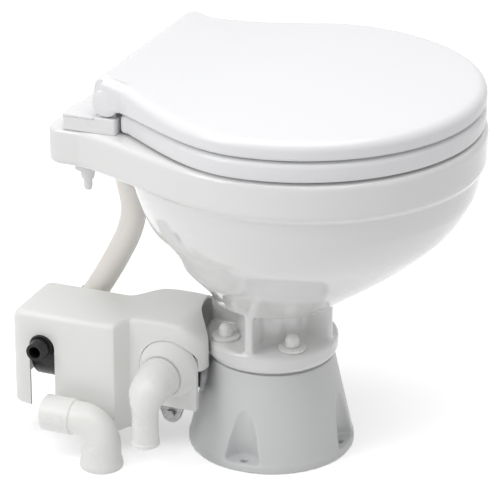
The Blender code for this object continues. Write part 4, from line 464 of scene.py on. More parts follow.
# Finish: colour and the shade it drifts to, scales of drift and gloss,
# roughness from and to, scale and strength of the waves and of the grain, and what is its own
LOOKS = {
    "china": (
        (0.81, 0.81, 0.807), (0.795, 0.795, 0.792), 7.0, 9.0,
        (0.07, 0.12), 9.0, 0.06, 600.0, 0.02, {"coat": 0.3},
    ),
    "seat_white": (
        (0.835, 0.835, 0.852), (0.83, 0.83, 0.847), 3.0, 30.0,
        (0.245, 0.265), 10.0, 0.012, 1200.0, 0.03, {},
    ),
    "base_grey": (
        (0.7, 0.705, 0.71), (0.685, 0.69, 0.697), 14.0, 25.0,
        (0.28, 0.4), 22.0, 0.1, 1500.0, 0.1, {"stretch": (1.0, 1.0, 0.25)},
    ),
    "cover_white": (
        (0.85, 0.855, 0.84), (0.838, 0.843, 0.824), 12.0, 18.0,
        (0.28, 0.4), 16.0, 0.14, 1400.0, 0.08, {},
    ),
    "fitting_white": (
        (0.85, 0.85, 0.835), (0.83, 0.83, 0.81), 20.0, 40.0,
        (0.26, 0.36), 30.0, 0.05, 1500.0, 0.05, {},
    ),
    "hinge_white": (
        (0.82, 0.82, 0.83), (0.8, 0.8, 0.81), 25.0, 40.0,
        (0.24, 0.34), 30.0, 0.04, 1500.0, 0.06, {},
    ),
    "black_plastic": (
        (0.012, 0.012, 0.013), (0.022, 0.022, 0.022), 40.0, 60.0,
        (0.22, 0.36), 60.0, 0.05, 1500.0, 0.08, {"specular": 0.25},
    ),
    "rubber": (
        (0.03, 0.03, 0.032), (0.045, 0.045, 0.046), 60.0, 80.0,
        (0.6, 0.8), 60.0, 0.04, 2500.0, 0.3, {},
    ),
    "gasket_grey": (
        (0.42, 0.42, 0.42), (0.36, 0.36, 0.36), 60.0, 80.0,
        (0.6, 0.8), 60.0, 0.04, 2500.0, 0.3, {},
    ),
    "pale_rubber": (
        (0.68, 0.68, 0.66), (0.62, 0.62, 0.6), 60.0, 80.0,
        (0.5, 0.7), 60.0, 0.04, 2500.0, 0.25, {},
    ),
    "hose_white": (
        (0.9, 0.875, 0.84), (0.87, 0.84, 0.795), 26.0, 40.0,
        (0.34, 0.46), 40.0, 0.06, 1600.0, 0.06, {"subsurface": 0.25},
    ),
    "stainless": (
        (0.36, 0.36, 0.36), (0.28, 0.28, 0.28), 70.0, 90.0,
        (0.22, 0.38), 60.0, 0.04, 900.0, 0.35, {"stretch": (1.0, 1.0, 8.0), "metallic": 1.0},
    ),
    "motor_black": (
        (0.02, 0.02, 0.021), (0.032, 0.032, 0.032), 50.0, 60.0,
        (0.34, 0.5), 60.0, 0.04, 1800.0, 0.25, {},
    ),
    "rotor_steel": (
        (0.35, 0.34, 0.33), (0.27, 0.255, 0.24), 70.0, 90.0,
        (0.4, 0.6), 60.0, 0.04, 900.0, 0.4, {"stretch": (1.0, 10.0, 1.0), "metallic": 1.0},
    ),
}

# Pieces that show another finish than their CAD material
OWN_FINISH = {"base_gasket": "gasket_grey"}

# Pieces whose edges melt into fillets: voxel size and rounds of smoothing
MELTED = {"bowl": (0.0017, 7), "base": (0.0012, 6)}

# Camera at the photograph's viewpoint
CAMERA_AIM = Vector((-0.0098, 0.0183, 0.1949))
CAMERA_BACK = Vector((-0.851, -0.344, 0.397))
CAMERA_DISTANCE = 2.366
CAMERA_LENS = 183.6
CAMERA_SENSOR = 36.0
CAMERA_CLIP = 0.05

# Lights: name, place, aim, width, height, power
LIGHTS = (
    ("top_light", (-0.30, -0.10, 1.9), (0.0, 0.0, 0.2), 1.6, 1.6, 20.0),
    ("right_light", (-0.4, -1.9, 0.75), (0.0, 0.0, 0.2), 1.0, 1.2, 0.9),
    ("left_light", (-1.25, 1.05, 1.35), (-0.05, 0.1, 0.15), 0.9, 1.2, 11.0),
)

# Floor and background
WHITE = (1.0, 1.0, 1.0, 1.0)
WORLD_FILL = 0.36
FLOOR_COLOUR = (0.92, 0.92, 0.92, 1.0)
FLOOR_LIFT = 0.48
FLOOR_ROUGHNESS = 0.9
FLOOR_SPECULAR = 0.1
FLOOR_SIZE = 12.0
FLOOR_DROP = 0.0004

X_AXIS = Vector((1.0, 0.0, 0.0))
Y_AXIS = Vector((0.0, 1.0, 0.0))
Z_AXIS = Vector((0.0, 0.0, 1.0))

SIDES = ((-1.0, "left"), (1.0, "right"))
WAY_OUT = Vector((math.cos(OUTLET_ANGLE), math.sin(OUTLET_ANGLE), 0.0))
LEAN = Vector(HOSE_LEAN).normalized()
BOLT_PLACES = [
    FLANGE_BOLT_CIRCLE * Vector((math.cos(turn), math.sin(turn), 0.0))
    for turn in (math.pi / 4.0 * k for k in (1, 3, 5, 7))
]

FORMS = []
PIECES = {}


def new_object(name, work, kind):
    bmesh.ops.recalc_face_normals(work, faces=work.faces)
    mesh = bpy.data.meshes.new(name)
    work.to_mesh(mesh)
    work.free()
    made = bpy.data.objects.new(f"{kind}_{name}", mesh)
    bpy.context.scene.collection.objects.link(made)
    return made


def piece(name, work, finish):
    """The closed mesh as the visible piece of one node."""
    made = new_object(name, work, "fine")
    PIECES[name] = (made, finish)
    return made


def combine(target, operation, works):
    """Exact Booleans on the target, one for each closed mesh."""
    for work in works:
        tool = new_object("tool", work, "form")
        FORMS.append(tool)
        step = target.modifiers.new("step", "BOOLEAN")
        step.operation = operation
        step.solver = "EXACT"
        step.object = tool


def cut(target, *works):
    combine(target, "DIFFERENCE", works)


def fuse(target, *works):
    combine(target, "UNION", works)


def bake(made, voxel=0.0, rounds=0):
    """Settle the piece's Booleans, and where a voxel is given, melt its edges into soft fillets."""
    if voxel:
        even = made.modifiers.new("even", "REMESH")
        even.mode = "VOXEL"
        even.voxel_size = voxel
        even.use_smooth_shade = True
        soft = made.modifiers.new("soften", "SMOOTH")
        soft.factor = 0.5
        soft.iterations = rounds
    graph = bpy.context.evaluated_depsgraph_get()
    mesh = bpy.data.meshes.new_from_object(made.evaluated_get(graph))
    made.modifiers.clear()
    made.data = mesh
    mesh.shade_smooth()
    if not voxel:
        mesh.set_sharp_from_angle(angle=SHARP_ANGLE)


def smooth(points, steps):
    """A smooth curve through given points or rows of numbers."""
    marks = [Vector(point) for point in points]
    marks = [marks[0] * 2.0 - marks[1], *marks, marks[-1] * 2.0 - marks[-2]]
    spans = len(marks) - 3
    found = []
    for k in range(steps + 1):
        place = spans * k / steps
        i = min(int(place), spans - 1)
        t = place - i
        a, b, c, d = marks[i:i + 4]
        found.append(0.5 * (2.0 * b + (c - a) * t + (2.0 * a - 5.0 * b + 4.0 * c - d) * t ** 2
                            + (3.0 * b - a - 3.0 * c + d) * t ** 3))
    return found


def quarter_turns(steps):
    return [math.pi / 2.0 * i / steps for i in range(steps + 1)]


def quarter(radius, steps):
    """(inwards, down from the top) pairs round a quarter circle, from the side to the top."""
    turns = quarter_turns(steps)
    return [(radius * (1.0 - math.cos(turn)), radius * (1.0 - math.sin(turn))) for turn in turns]


def circle(radius, height, steps, centre=(0.0, 0.0)):
    turn = math.tau / steps
    return [
        Vector((centre[0] + radius * math.cos(i * turn), centre[1] + radius * math.sin(i * turn), height))
        for i in range(steps)
    ]


def lifted(outline, height):
    return [Vector((point.x, point.y, height)) for point in outline]


def axis_matrix(origin, direction):
    """A transform that takes +Z to the direction and the zero point to the origin."""
    turn = Vector(direction).to_track_quat("Z", "Y").to_matrix().to_4x4()
    return Matrix.Translation(Vector(origin)) @ turn


def rings_mesh(rings, closed=False):
    """A skin over rings of equal count: closed in a loop, or capped at its first and last ring."""
    work = bmesh.new()
    rows = [[work.verts.new(point) for point in ring] for ring in rings]
    for low, high in zip(rows, rows[1:] + rows[:1] if closed else rows[1:]):
        for corners in zip(low, low[1:] + low[:1], high[1:] + high[:1], high):
            work.faces.new(corners)
    if not closed:
        work.faces.new(rows[0][::-1])
        work.faces.new(rows[-1])
    return work


def turned(profile, place=None, steps=ROUND_STEPS, closed=False):
    """A turned solid from (radius, height) points; a closed profile goes round a bore."""
    rings = [circle(radius, height, steps) for radius, height in profile]
    if place is not None:
        rings = [[place @ point for point in ring] for ring in rings]
    return rings_mesh(rings, closed)


def washer(inner, outer, low, high, place=None, steps=ROUND_STEPS):
    """A flat ring between two radii and two heights."""
    return turned([(inner, low), (outer, low), (outer, high), (inner, high)], place, steps, closed=True)


def rod(start, direction, length, radius, steps=ROUND_STEPS):
    return turned([(radius, 0.0), (radius, length)], axis_matrix(start, direction), steps)


def upright(x, y, low, length, radius, steps=SMALL_ROUND_STEPS):
    """A rod that stands on a place."""
    return rod((x, y, low), Z_AXIS, length, radius, steps)


def block(low, high):
    """A box between two corners."""
    work = bmesh.new()
    bmesh.ops.create_cube(work, size=1.0)
    middle = [(a + b) / 2.0 for a, b in zip(low, high)]
    for vert in work.verts:
        vert.co = Vector([m + c * (b - a) for m, c, a, b in zip(middle, vert.co, low, high)])
    return work


def round_block(low, high, radius, corner):
    """A box with its upper edges rounded and its vertical corners of a radius of their own."""
    work = block(low, high)
    posts = [edge for edge in work.edges if abs(edge.verts[0].co.z - edge.verts[1].co.z) > GAP]
    bmesh.ops.bevel(work, geom=posts, offset=corner, segments=CORNER_STEPS, affect="EDGES", profile=0.5)
    top = [
        edge for edge in work.edges
        if all(vert.co.z > high[2] - GAP for vert in edge.verts) and len(edge.link_faces) == 2
    ]
    bmesh.ops.bevel(work, geom=top, offset=radius, segments=EDGE_STEPS // 2, affect="EDGES", profile=0.5)
    return work


def eye_points(circles, steps):
    """(Y, Z) points round circles that are given as Y, Z and radius."""
    turns = [math.tau * i / steps for i in range(steps)]
    return [(y + r * math.cos(turn), z + r * math.sin(turn)) for turn in turns for y, z, r in circles]


def slab(low_x, high_x, pairs):
    """The convex solid round (Y, Z) points, between two X places."""
    work = bmesh.new()
    for x in (low_x, high_x):
        for y, z in pairs:
            work.verts.new((x, y, z))
    hull = bmesh.ops.convex_hull(work, input=work.verts)
    spare = [v for v in hull["geom_interior"] if isinstance(v, bmesh.types.BMVert)]
    bmesh.ops.delete(work, geom=spare, context="VERTS")
    return work


def tube_rings(path, radii, sides):
    """Rings across a path, with a radius for each point."""
    turns = [math.tau / sides * i for i in range(sides)]
    ends = [path[0], *path, path[-1]]
    tangents = [(after - before).normalized() for before, after in zip(ends, ends[2:])]
    side = tangents[0].orthogonal().normalized()
    rings = []
    for centre, tangent, radius in zip(path, tangents, radii):
        side = (side - tangent * side.dot(tangent)).normalized()
        up = tangent.cross(side)
        rings.append([centre + side * radius * math.cos(k) + up * radius * math.sin(k) for k in turns])
    return rings


def pipe(path, radii, bores, sides):
    """A pipe along a path, with an outer and an inner radius at each point."""
    return rings_mesh(tube_rings(path, radii, sides) + tube_rings(path, bores, sides)[::-1], closed=True)


def round_tube(path, radius):
    return rings_mesh(tube_rings(path, [radius] * len(path), SMALL_ROUND_STEPS))


def quarter_bend(corner, way_in, way_out, radius):
    """Points round a bend from one direction into another, short of the corner where the two lines meet."""
    centre = corner - way_in * radius + way_out * radius
    return [
        centre - way_out * radius * math.cos(turn) + way_in * radius * math.sin(turn)
        for turn in quarter_turns(BEND_STEPS)
    ]


def rim_outline(radius, centre, pull, ease, shoulder, rear, corner):
    """Half circle in front, eased sides, straight rear edge with round corners, seen from above."""
    half = []
    for turn in quarter_turns(RIM_ARC_STEPS // 2):
        angle = turn - math.pi / 2.0
        half.append(Vector((radius * math.cos(angle), -centre + radius * math.sin(angle))))
    a = Vector((radius, -centre))
    b, c, d = a + Vector((0.0, pull)), Vector(ease), Vector(shoulder)
    for t in (i / RIM_SIDE_STEPS for i in range(1, RIM_SIDE_STEPS + 1)):
        u = 1.0 - t
        half.append(a * u ** 3 + b * 3.0 * u * u * t + c * 3.0 * u * t * t + d * t ** 3)
    middle = Vector((shoulder[0] - corner, rear - corner))
    for turn in quarter_turns(CORNER_STEPS):
        half.append(middle + corner * Vector((math.cos(turn), math.sin(turn))))
    return half + [Vector((-point.x, point.y)) for point in reversed(half[1:])]


def inset(outline, distance):
    """The outline moved inwards by a distance, point by point."""
    moved = []
    for i, point in enumerate(outline):
        along = outline[(i + 1) % len(outline)] - outline[i - 1]
        moved.append(point + Vector((-along.y, along.x)).normalized() * distance)
    return moved


def drawn_in(outline, middle, distance):
    """The outline with each point moved straight towards a middle, for insets wider than its corners."""
    return [point + (middle - point).normalized() * distance for point in outline]


def bolt_holes(body, low, length):
    """Holes for the four flange bolts, from a height upwards."""
    for place in BOLT_PLACES:
        cut(body, upright(place.x, place.y, low, length, FLANGE_BOLT_RADIUS + GAP))


def base():
    """The pedestal: plinth and cone, hollow sump, foot bolt pockets and the waste outlet boss."""
    body = piece("base", turned([
        (PLINTH_RADIUS, 0.0),
        (PLINTH_RADIUS, PLINTH_HEIGHT - 3.0 * GAP),
        (CONE_FOOT_RADIUS, PLINTH_HEIGHT),
        (CONE_TOP_RADIUS, BASE_HEIGHT),
    ], steps=BOWL_STEPS), "base_grey")
    start = WAY_OUT * SUMP_SHOULDER_RADIUS + Z_AXIS * OUTLET_HEIGHT
    reach = OUTLET_REACH - SUMP_SHOULDER_RADIUS
    fuse(body, rod(start, WAY_OUT, reach, OUTLET_BOSS_RADIUS))
    shoulder = BASE_HEIGHT - BASE_TOP_THICKNESS
    cut(body, turned([
        (SUMP_FOOT_RADIUS, SUMP_FLOOR),
        (SUMP_SHOULDER_RADIUS + OVERRUN, shoulder),
        (SUMP_MOUTH_RADIUS, shoulder + OVERRUN),
        (SUMP_MOUTH_RADIUS, BASE_HEIGHT + OVERRUN),
    ]))
    cut(body, rod(start - WAY_OUT * OVERRUN * 4.0, WAY_OUT, reach * 2.0, OUTLET_BORE_RADIUS))
    for way in (Y_AXIS, -X_AXIS, -Y_AXIS, X_AXIS):
        pocket = [(FOOT_POCKET_RADIUS, PLINTH_HEIGHT), (FOOT_POCKET_TOP_RADIUS, FOOT_POCKET_TOP)]
        cut(body, turned(pocket, Matrix.Translation(way * FOOT_POCKET_OFFSET)))
        place = way * FOOT_HOLE_OFFSET
        cut(body, upright(place.x, place.y, -OVERRUN, PLINTH_HEIGHT + 2.0 * OVERRUN, FOOT_HOLE_RADIUS))
    depth = FLANGE_BOLT_DEPTH + 2.0 * GAP
    bolt_holes(body, BASE_HEIGHT - depth, depth + OVERRUN)


def base_gasket():
    top = GASKET_Z + BASE_GASKET_THICKNESS
    ring = washer(SUMP_MOUTH_RADIUS, BASE_GASKET_RADIUS, GASKET_Z, top, steps=NECK_STEPS)
    ring = piece("base_gasket", ring, "rubber")
    bolt_holes(ring, GASKET_Z - OVERRUN, BASE_GASKET_THICKNESS + 2.0 * OVERRUN)


def bowl_rings(shares, radius):
    """The bowl's outer or inner form from its stations."""
    return rings_mesh([
        circle(share * radius, BOWL_Z + rise * BOWL_HEIGHT, BOWL_STEPS, (0.0, -ahead * BOWL_CENTRE))
        for rise, share, ahead in smooth(shares, SHELL_RINGS)
    ])


def bowl():
    """The china bowl: one piece with its flange, ribbed neck, rim and rear shelf."""
    outline = rim_outline(*BOWL_OUTLINE)
    edge = RIM_EDGE
    soft = edge * SOFT_SHARE
    levels = ((edge, 0.0), (soft, soft), (0.0, edge))
    rings = [lifted(inset(outline, back), SHELF_Z + up) for back, up in levels]
    rings += [lifted(inset(outline, back), RIM_TOP - up) for back, up in levels[::-1]]
    body = piece("bowl", rings_mesh(rings), "china")
    fuse(body, bowl_rings(BOWL_STATION_SHARES, BOWL_RADIUS))
    fuse(body, turned([
        (FLANGE_RADIUS - FLANGE_FOOT_DRAW, FLANGE_Z),
        (FLANGE_RADIUS, FLANGE_Z + FLANGE_FOOT_DRAW * 2.0),
        (FLANGE_RADIUS, FLANGE_TOP - FLANGE_EDGE),
        (FLANGE_RADIUS - FLANGE_EDGE, FLANGE_TOP),
        (NECK_RADIUS, FLANGE_TOP),
        (NECK_RADIUS, BOWL_Z - NECK_FILLET),
        (NECK_RADIUS + NECK_FILLET * SOFT_SHARE, BOWL_Z - NECK_FILLET * SOFT_SHARE),
        (NECK_RADIUS + NECK_FILLET, BOWL_Z + OVERRUN),
    ], steps=NECK_STEPS))
    half = RIB_THICKNESS / 2.0
    for wide, deep in ((RIB_REACH, half), (half, RIB_REACH)):
        fuse(body, block((-wide, -deep, FLANGE_TOP - OVERRUN), (wide, deep, BOWL_Z + OVERRUN)))
    inlet_y = HOSE_ROUTE[-1][1]
    inlet_z = SHELF_Z - INLET_SPIGOT_LENGTH
    spigot = INLET_SPIGOT_LENGTH + RIM_EDGE
    fuse(body, upright(0.0, inlet_y, inlet_z, spigot, INLET_SPIGOT_RADIUS, ROUND_STEPS))
    cut(body, bowl_rings(CAVITY_STATION_SHARES, BOWL_RADIUS - BOWL_WALL * CAVITY_WALL_SHARE))
    low = BOWL_Z + CAVITY_STATION_SHARES[-2][0] * BOWL_HEIGHT
    mouth = []
    for height, grow in ((low, 0.0), (RIM_TOP - edge, 0.0), (RIM_TOP - soft, soft),
                         (RIM_TOP + GAP, edge), (RIM_TOP + OVERRUN, edge)):
        wide = MOUTH_HALF_WIDTH + grow
        deep = MOUTH_HALF_LENGTH + grow
        flat = circle(1.0, height, BOWL_STEPS)
        mouth.append([Vector((point.x * wide, point.y * deep - MOUTH_CENTRE, height)) for point in flat])
    cut(body, rings_mesh(mouth))
    passage = BOWL_Z - FLANGE_Z + PASSAGE_PAST_BOWL
    cut(body, upright(0.0, 0.0, FLANGE_Z - OVERRUN, passage, WASTE_PASSAGE_RADIUS, ROUND_STEPS))
    bolt_holes(body, FLANGE_Z - OVERRUN, FLANGE_THICKNESS + 2.0 * OVERRUN)
    for side, _ in SIDES:
        cut(body, upright(side * HINGE_OFFSET, BRACKET_BOLT_Y, SHELF_Z - OVERRUN, RIM_HEIGHT + 2.0 * OVERRUN,
                          HINGE_BOLT_HOLE_RADIUS))
    reach = INLET_SPIGOT_LENGTH + RIM_HEIGHT * INLET_REACH_SHARE
    cut(body, upright(0.0, inlet_y, inlet_z - OVERRUN, reach, PORT_BORE_RADIUS))


def flange_fasteners():
    """Four bolts with broad washers and snap-on caps."""
    washer_z = FLANGE_TOP + GAP
    washer_top = washer_z + FLANGE_WASHER_THICKNESS
    head_z = washer_top + GAP
    head_top = head_z + BOLT_HEAD_HEIGHT
    hollow = BOLT_HEAD_RADIUS + GAP
    dome = head_z + CAP_HEIGHT - CAP_RADIUS * CAP_DOME_SHARE
    for i, place in enumerate(BOLT_PLACES, start=1):
        at = Matrix.Translation(place)
        ring = washer(FLANGE_BOLT_RADIUS + GAP, FLANGE_WASHER_RADIUS, washer_z, washer_top, at)
        piece(f"flange_washer_{i}", ring, "fitting_white")
        piece(f"flange_bolt_{i}", turned([
            (FLANGE_BOLT_RADIUS, BASE_HEIGHT - FLANGE_BOLT_DEPTH), (FLANGE_BOLT_RADIUS, head_z),
            (BOLT_HEAD_RADIUS, head_z), (BOLT_HEAD_RADIUS, head_top),
        ], at, SMALL_ROUND_STEPS), "stainless")
        piece(f"flange_cap_{i}", turned([
            (hollow * 0.5, head_top + GAP), (hollow, head_top + GAP), (hollow, head_z),
            (CAP_RADIUS, head_z), (CAP_RADIUS, dome),
            *((CAP_RADIUS * wide, dome + CAP_RADIUS * up) for wide, up in CAP_DOME),
            (CAP_RADIUS * CAP_TIP_SHARE, head_z + CAP_HEIGHT),
        ], at, SMALL_ROUND_STEPS), "fitting_white")


def knuckle(side, inner, outer, points):
    """A flat hinge lug: a round eye on the hinge axis drawn into a root."""
    eye = eye_points([(HINGE_AXIS_Y, HINGE_AXIS_Z, KNUCKLE_RADIUS)], SMALL_ROUND_STEPS)
    return slab(*sorted((side * inner, side * outer)), eye + points)


def on_hinge(side, inner, outer, radius):
    """A rod on the hinge axis between two distances from the middle."""
    return rod((side * inner, HINGE_AXIS_Y, HINGE_AXIS_Z), X_AXIS * side, outer - inner, radius)


def hinge(side, word):
    """One hinge: bracket on the shelf, snap cap, pin, bolt and plastic nut under the shelf."""
    low_x, high_x = sorted((side * BRACKET_INNER, side * BRACKET_OUTER))
    high = (high_x, BRACKET_REAR, BRACKET_TOP)
    foot = round_block((low_x, BRACKET_FRONT, BRACKET_Z), high, BRACKET_EDGE / 2.0, BRACKET_EDGE)
    body = piece(f"hinge_bracket_{word}", foot, "hinge_white")
    root = BRACKET_TOP - OVERRUN
    fuse(body, knuckle(side, KNUCKLE_INNER, KNUCKLE_OUTER,
                       [(HINGE_AXIS_Y - KNUCKLE_RADIUS, root), (HINGE_AXIS_Y + KNUCKLE_RADIUS, root)]))
    cut(body, on_hinge(side, BRACKET_INNER, BRACKET_OUTER + OVERRUN, HINGE_PIN_RADIUS + PIN_CLEARANCE))
    seat_z = BRACKET_TOP - BRACKET_CAP_THICKNESS
    cut(body, block((low_x - OVERRUN, BRACKET_CAP_FRONT - GAP, seat_z),
                    (high_x + OVERRUN, BRACKET_REAR + OVERRUN, BRACKET_TOP + OVERRUN)))
    x = side * HINGE_OFFSET
    head_z = seat_z - GAP - HINGE_BOLT_HEAD_HEIGHT
    cut(body, upright(x, BRACKET_BOLT_Y, head_z - GAP, RIM_HEIGHT, HINGE_BOLT_HEAD_RADIUS + GAP),
        upright(x, BRACKET_BOLT_Y, SHELF_Z, RIM_HEIGHT * 2.0, HINGE_BOLT_RADIUS + GAP))
    cap = round_block((low_x, BRACKET_CAP_FRONT, seat_z + GAP), high, BRACKET_EDGE / 3.0, BRACKET_EDGE)
    piece(f"hinge_cap_{word}", cap, "hinge_white")
    pin = on_hinge(side, HINGE_PIN_INNER, HINGE_PIN_OUTER, HINGE_PIN_RADIUS)
    piece(f"hinge_pin_{word}", pin, "stainless")
    at = Matrix.Translation((x, BRACKET_BOLT_Y, 0.0))
    end_z = SHELF_Z - HINGE_BOLT_END_DROP
    tip = HINGE_BOLT_RADIUS * HINGE_BOLT_TIP_SHARE
    piece(f"hinge_bolt_{word}", turned([
        (tip, end_z), (HINGE_BOLT_RADIUS, end_z + tip),
        (HINGE_BOLT_RADIUS, head_z), (HINGE_BOLT_HEAD_RADIUS, head_z),
        (HINGE_BOLT_HEAD_RADIUS, head_z + HINGE_BOLT_HEAD_HEIGHT),
    ], at, SMALL_ROUND_STEPS), "hinge_white")
    nut_top = SHELF_Z - GAP
    inner = HINGE_BOLT_RADIUS + GAP
    piece(f"hinge_nut_{word}", turned([
        (inner, nut_top - HINGE_NUT_HEIGHT),
        *((radius, nut_top - HINGE_NUT_HEIGHT * down) for radius, down in HINGE_NUT_STATIONS),
        (HINGE_NUT_RADIUS, nut_top), (inner, nut_top),
    ], at, closed=True), "hinge_white")


def bumpers(name, degrees, reach, low, height, radius):
    """Small rubber feet round the seat's centre."""
    for i, turn in enumerate(map(math.radians, degrees), start=1):
        x = reach * math.cos(turn)
        y = reach * math.sin(turn) - SEAT_CENTRE
        piece(f"{name}_{i}", upright(x, y, low, height, radius), "pale_rubber")


def seat():
    """The seat ring with two lugs on the hinge pins."""
    outline = rim_outline(*SEAT_OUTLINE)
    middle = Vector((0.0, -SEAT_HOLE_CENTRE))
    hole = []
    for point in outline:
        way = (point - middle).normalized()
        hole.append(middle + Vector((way.x * SEAT_HOLE_HALF_WIDTH, way.y * SEAT_HOLE_HALF_LENGTH)))
    top = quarter(SEAT_EDGE, EDGE_STEPS)
    foot = quarter(SEAT_EDGE * 0.5, EDGE_STEPS // 2)
    rings = [lifted(inset(outline, back), SEAT_Z + up) for back, up in foot[::-1]]
    rings += [lifted(inset(outline, back), SEAT_TOP - down) for back, down in top]
    rings += [lifted(inset(hole, -back), SEAT_TOP - down) for back, down in top[::-1]]
    rings += [lifted(inset(hole, -back), SEAT_Z + up) for back, up in foot]
    body = piece("seat", rings_mesh(rings, closed=True), "seat_white")
    for side, _ in SIDES:
        fuse(body, knuckle(side, SEAT_KNUCKLE_INNER, SEAT_KNUCKLE_OUTER, SEAT_LUG_ROOT))
        cut(body, on_hinge(side, HINGE_PIN_INNER, KNUCKLE_INNER, HINGE_PIN_RADIUS + PIN_CLEARANCE))
    bumpers("seat_bumper", SEAT_BUMPER_DEGREES, SEAT_BUMPER_CIRCLE, RIM_TOP + GAP, SEAT_LIFT - 2.0 * GAP,
            SEAT_BUMPER_RADIUS)


def lid():
    """The lid: a shallow shell whose rear rises into the hinge barrel."""
    def shaped(ring, height):
        """The ring at a height, rising towards the hinge."""
        points = []
        for point in ring:
            t = min(max((point.y - LID_RISE_START) / (LID_RISE_END - LID_RISE_START), 0.0), 1.0)
            points.append(Vector((point.x, point.y, height + LID_REAR_RISE * t * t)))
        return points

    outline = rim_outline(*LID_OUTLINE)
    middle = Vector((0.0, -SEAT_CENTRE))
    rings = [
        lifted(drawn_in(outline, middle, LID_WALL + LID_EDGE), LID_Z + LID_RECESS),
        lifted(drawn_in(outline, middle, LID_WALL), LID_Z),
        lifted(inset(outline, LID_FOOT_BACK), LID_Z),
        lifted(outline, LID_Z + LID_FOOT_UP),
    ]
    rings += [shaped(inset(outline, back), LID_TOP - down) for back, down in quarter(LID_EDGE, EDGE_STEPS)]
    for share in LID_TOP_SHARES:
        ring = [middle + (point - middle) * share for point in outline]
        rings.append(shaped(ring, LID_TOP + LID_CROWN * (1.0 - share * share)))
    body = piece("lid", rings_mesh(rings), "seat_white")
    half = LID_REAR_HALF_WIDTH
    bead = LID_BARREL_EDGE
    ends = [(LID_BARREL_RADIUS - bead, 0.0), (LID_BARREL_RADIUS - bead * SOFT_SHARE, bead * SOFT_SHARE),
            (LID_BARREL_RADIUS, bead)]
    profile = ends + [(radius, 2.0 * half - along) for radius, along in ends[::-1]]
    fuse(body, turned(profile, axis_matrix((-half, HINGE_AXIS_Y, HINGE_AXIS_Z), X_AXIS)))
    fuse(body, slab(bead - half, half - bead, eye_points(LID_CHEEK, SMALL_ROUND_STEPS)))
    front = HINGE_AXIS_Y - LID_SLOT_REACH
    rear = HINGE_AXIS_Y + LID_SLOT_REACH
    low = HINGE_AXIS_Z - LID_SLOT_REACH
    for side, _ in SIDES:
        a, b = sorted((side * LID_SLOT_INNER, side * LID_SLOT_OUTER))
        cut(body, rod((a, HINGE_AXIS_Y, HINGE_AXIS_Z), X_AXIS, b - a, LID_SLOT_RADIUS),
            block((a, front, low), (b, rear, HINGE_AXIS_Z + OVERRUN)),
            block((a, HINGE_AXIS_Y, low), (b, rear, HINGE_AXIS_Z + LID_SLOT_RADIUS)),
            on_hinge(side, HINGE_PIN_INNER - GAP, HINGE_PIN_OUTER + GAP, HINGE_PIN_RADIUS + PIN_CLEARANCE))
    bumpers("lid_bumper", LID_BUMPER_DEGREES, LID_BUMPER_CIRCLE, SEAT_TOP + GAP, LID_LIFT - 2.0 * GAP,
            LID_BUMPER_RADIUS)


def pump_axis(y):
    """The place on the shaft's axis at a depth, its Z along +Y."""
    return axis_matrix((PUMP_X, y, PUMP_Z), Y_AXIS)


def on_shaft(y, length, radius):
    """A rod on the shaft's axis, from a depth to the rear."""
    return rod((PUMP_X, y, PUMP_Z), Y_AXIS, length, radius)


def ring_on_shaft(name, y, length, outer, inner, finish):
    piece(name, washer(inner, outer, 0.0, length, pump_axis(y)), finish)


def lean_path():
    """Middle line of the rinse pump's outlet: out along +X, round the corner and up the leaning spigot."""
    corner = Vector((OUTLET_ELBOW_X, PORT_Y, PORT_Z))
    bend = [
        corner - X_AXIS * HOSE_LEAN_START * (1.0 - t) ** 2 + LEAN * HOSE_LEAN_START * t * t
        for t in (0.0, 0.25, 0.5, 0.75, 1.0)
    ]
    return [Vector((PUMP_X, PORT_Y, PORT_Z)), *bend, corner + LEAN * (HOSE_LEAN_START + HOSE_LEAN_GRIP)]


def rinse_pump():
    """The raw water pump: housing with inlet and outlet spigots, end plate and shaft seal."""
    length = PUMP_REAR - PUMP_FRONT
    body = piece("pump_body", turned([(PUMP_RADIUS, 0.0), (PUMP_RADIUS, length)], pump_axis(PUMP_FRONT)),
                 "black_plastic")
    fuse(body, turned([
        (PORT_NECK_RADIUS, 0.0),
        (PORT_NECK_RADIUS, PUMP_X - PORT_NECK_REACH),
        (PORT_TUBE_RADIUS, PUMP_X - PORT_NECK_REACH),
        (PORT_TUBE_RADIUS, PUMP_X - PORT_BARB_START),
        (PORT_BARB_RADIUS, PUMP_X - PORT_BARB_START),
        (PORT_TUBE_RADIUS, PUMP_X - PORT_MOUTH),
    ], axis_matrix((PUMP_X, PORT_Y, PORT_Z), -X_AXIS)))
    path = lean_path()
    fuse(body, round_tube(path, OUTLET_ELBOW_RADIUS))
    cut(body, on_shaft(PUMP_FRONT + PUMP_WALL, length - PUMP_WALL + OVERRUN, PUMP_CHAMBER_RADIUS),
        on_shaft(PUMP_FRONT - OVERRUN, PUMP_WALL + 2.0 * OVERRUN, SEAL_RADIUS + GAP),
        rod((PUMP_X, PORT_Y, PORT_Z), -X_AXIS, PUMP_X - PORT_MOUTH + OVERRUN, PORT_BORE_RADIUS))
    path[0] = path[0] + X_AXIS * PORT_BORE_RADIUS
    path[-1] = path[-1] + (path[-1] - path[-2]).normalized() * OVERRUN
    cut(body, round_tube(path, PORT_BORE_RADIUS))
    chamfer = END_PLATE_THICKNESS * SOFT_SHARE
    piece("pump_end_plate", turned([
        (PUMP_RADIUS, 0.0), (PUMP_RADIUS, END_PLATE_THICKNESS - chamfer),
        (PUMP_RADIUS - chamfer, END_PLATE_THICKNESS),
    ], pump_axis(PUMP_REAR + GAP)), "black_plastic")
    ring_on_shaft("shaft_seal", PUMP_FRONT, PUMP_WALL, SEAL_RADIUS, SHAFT_RADIUS + GAP, "rubber")


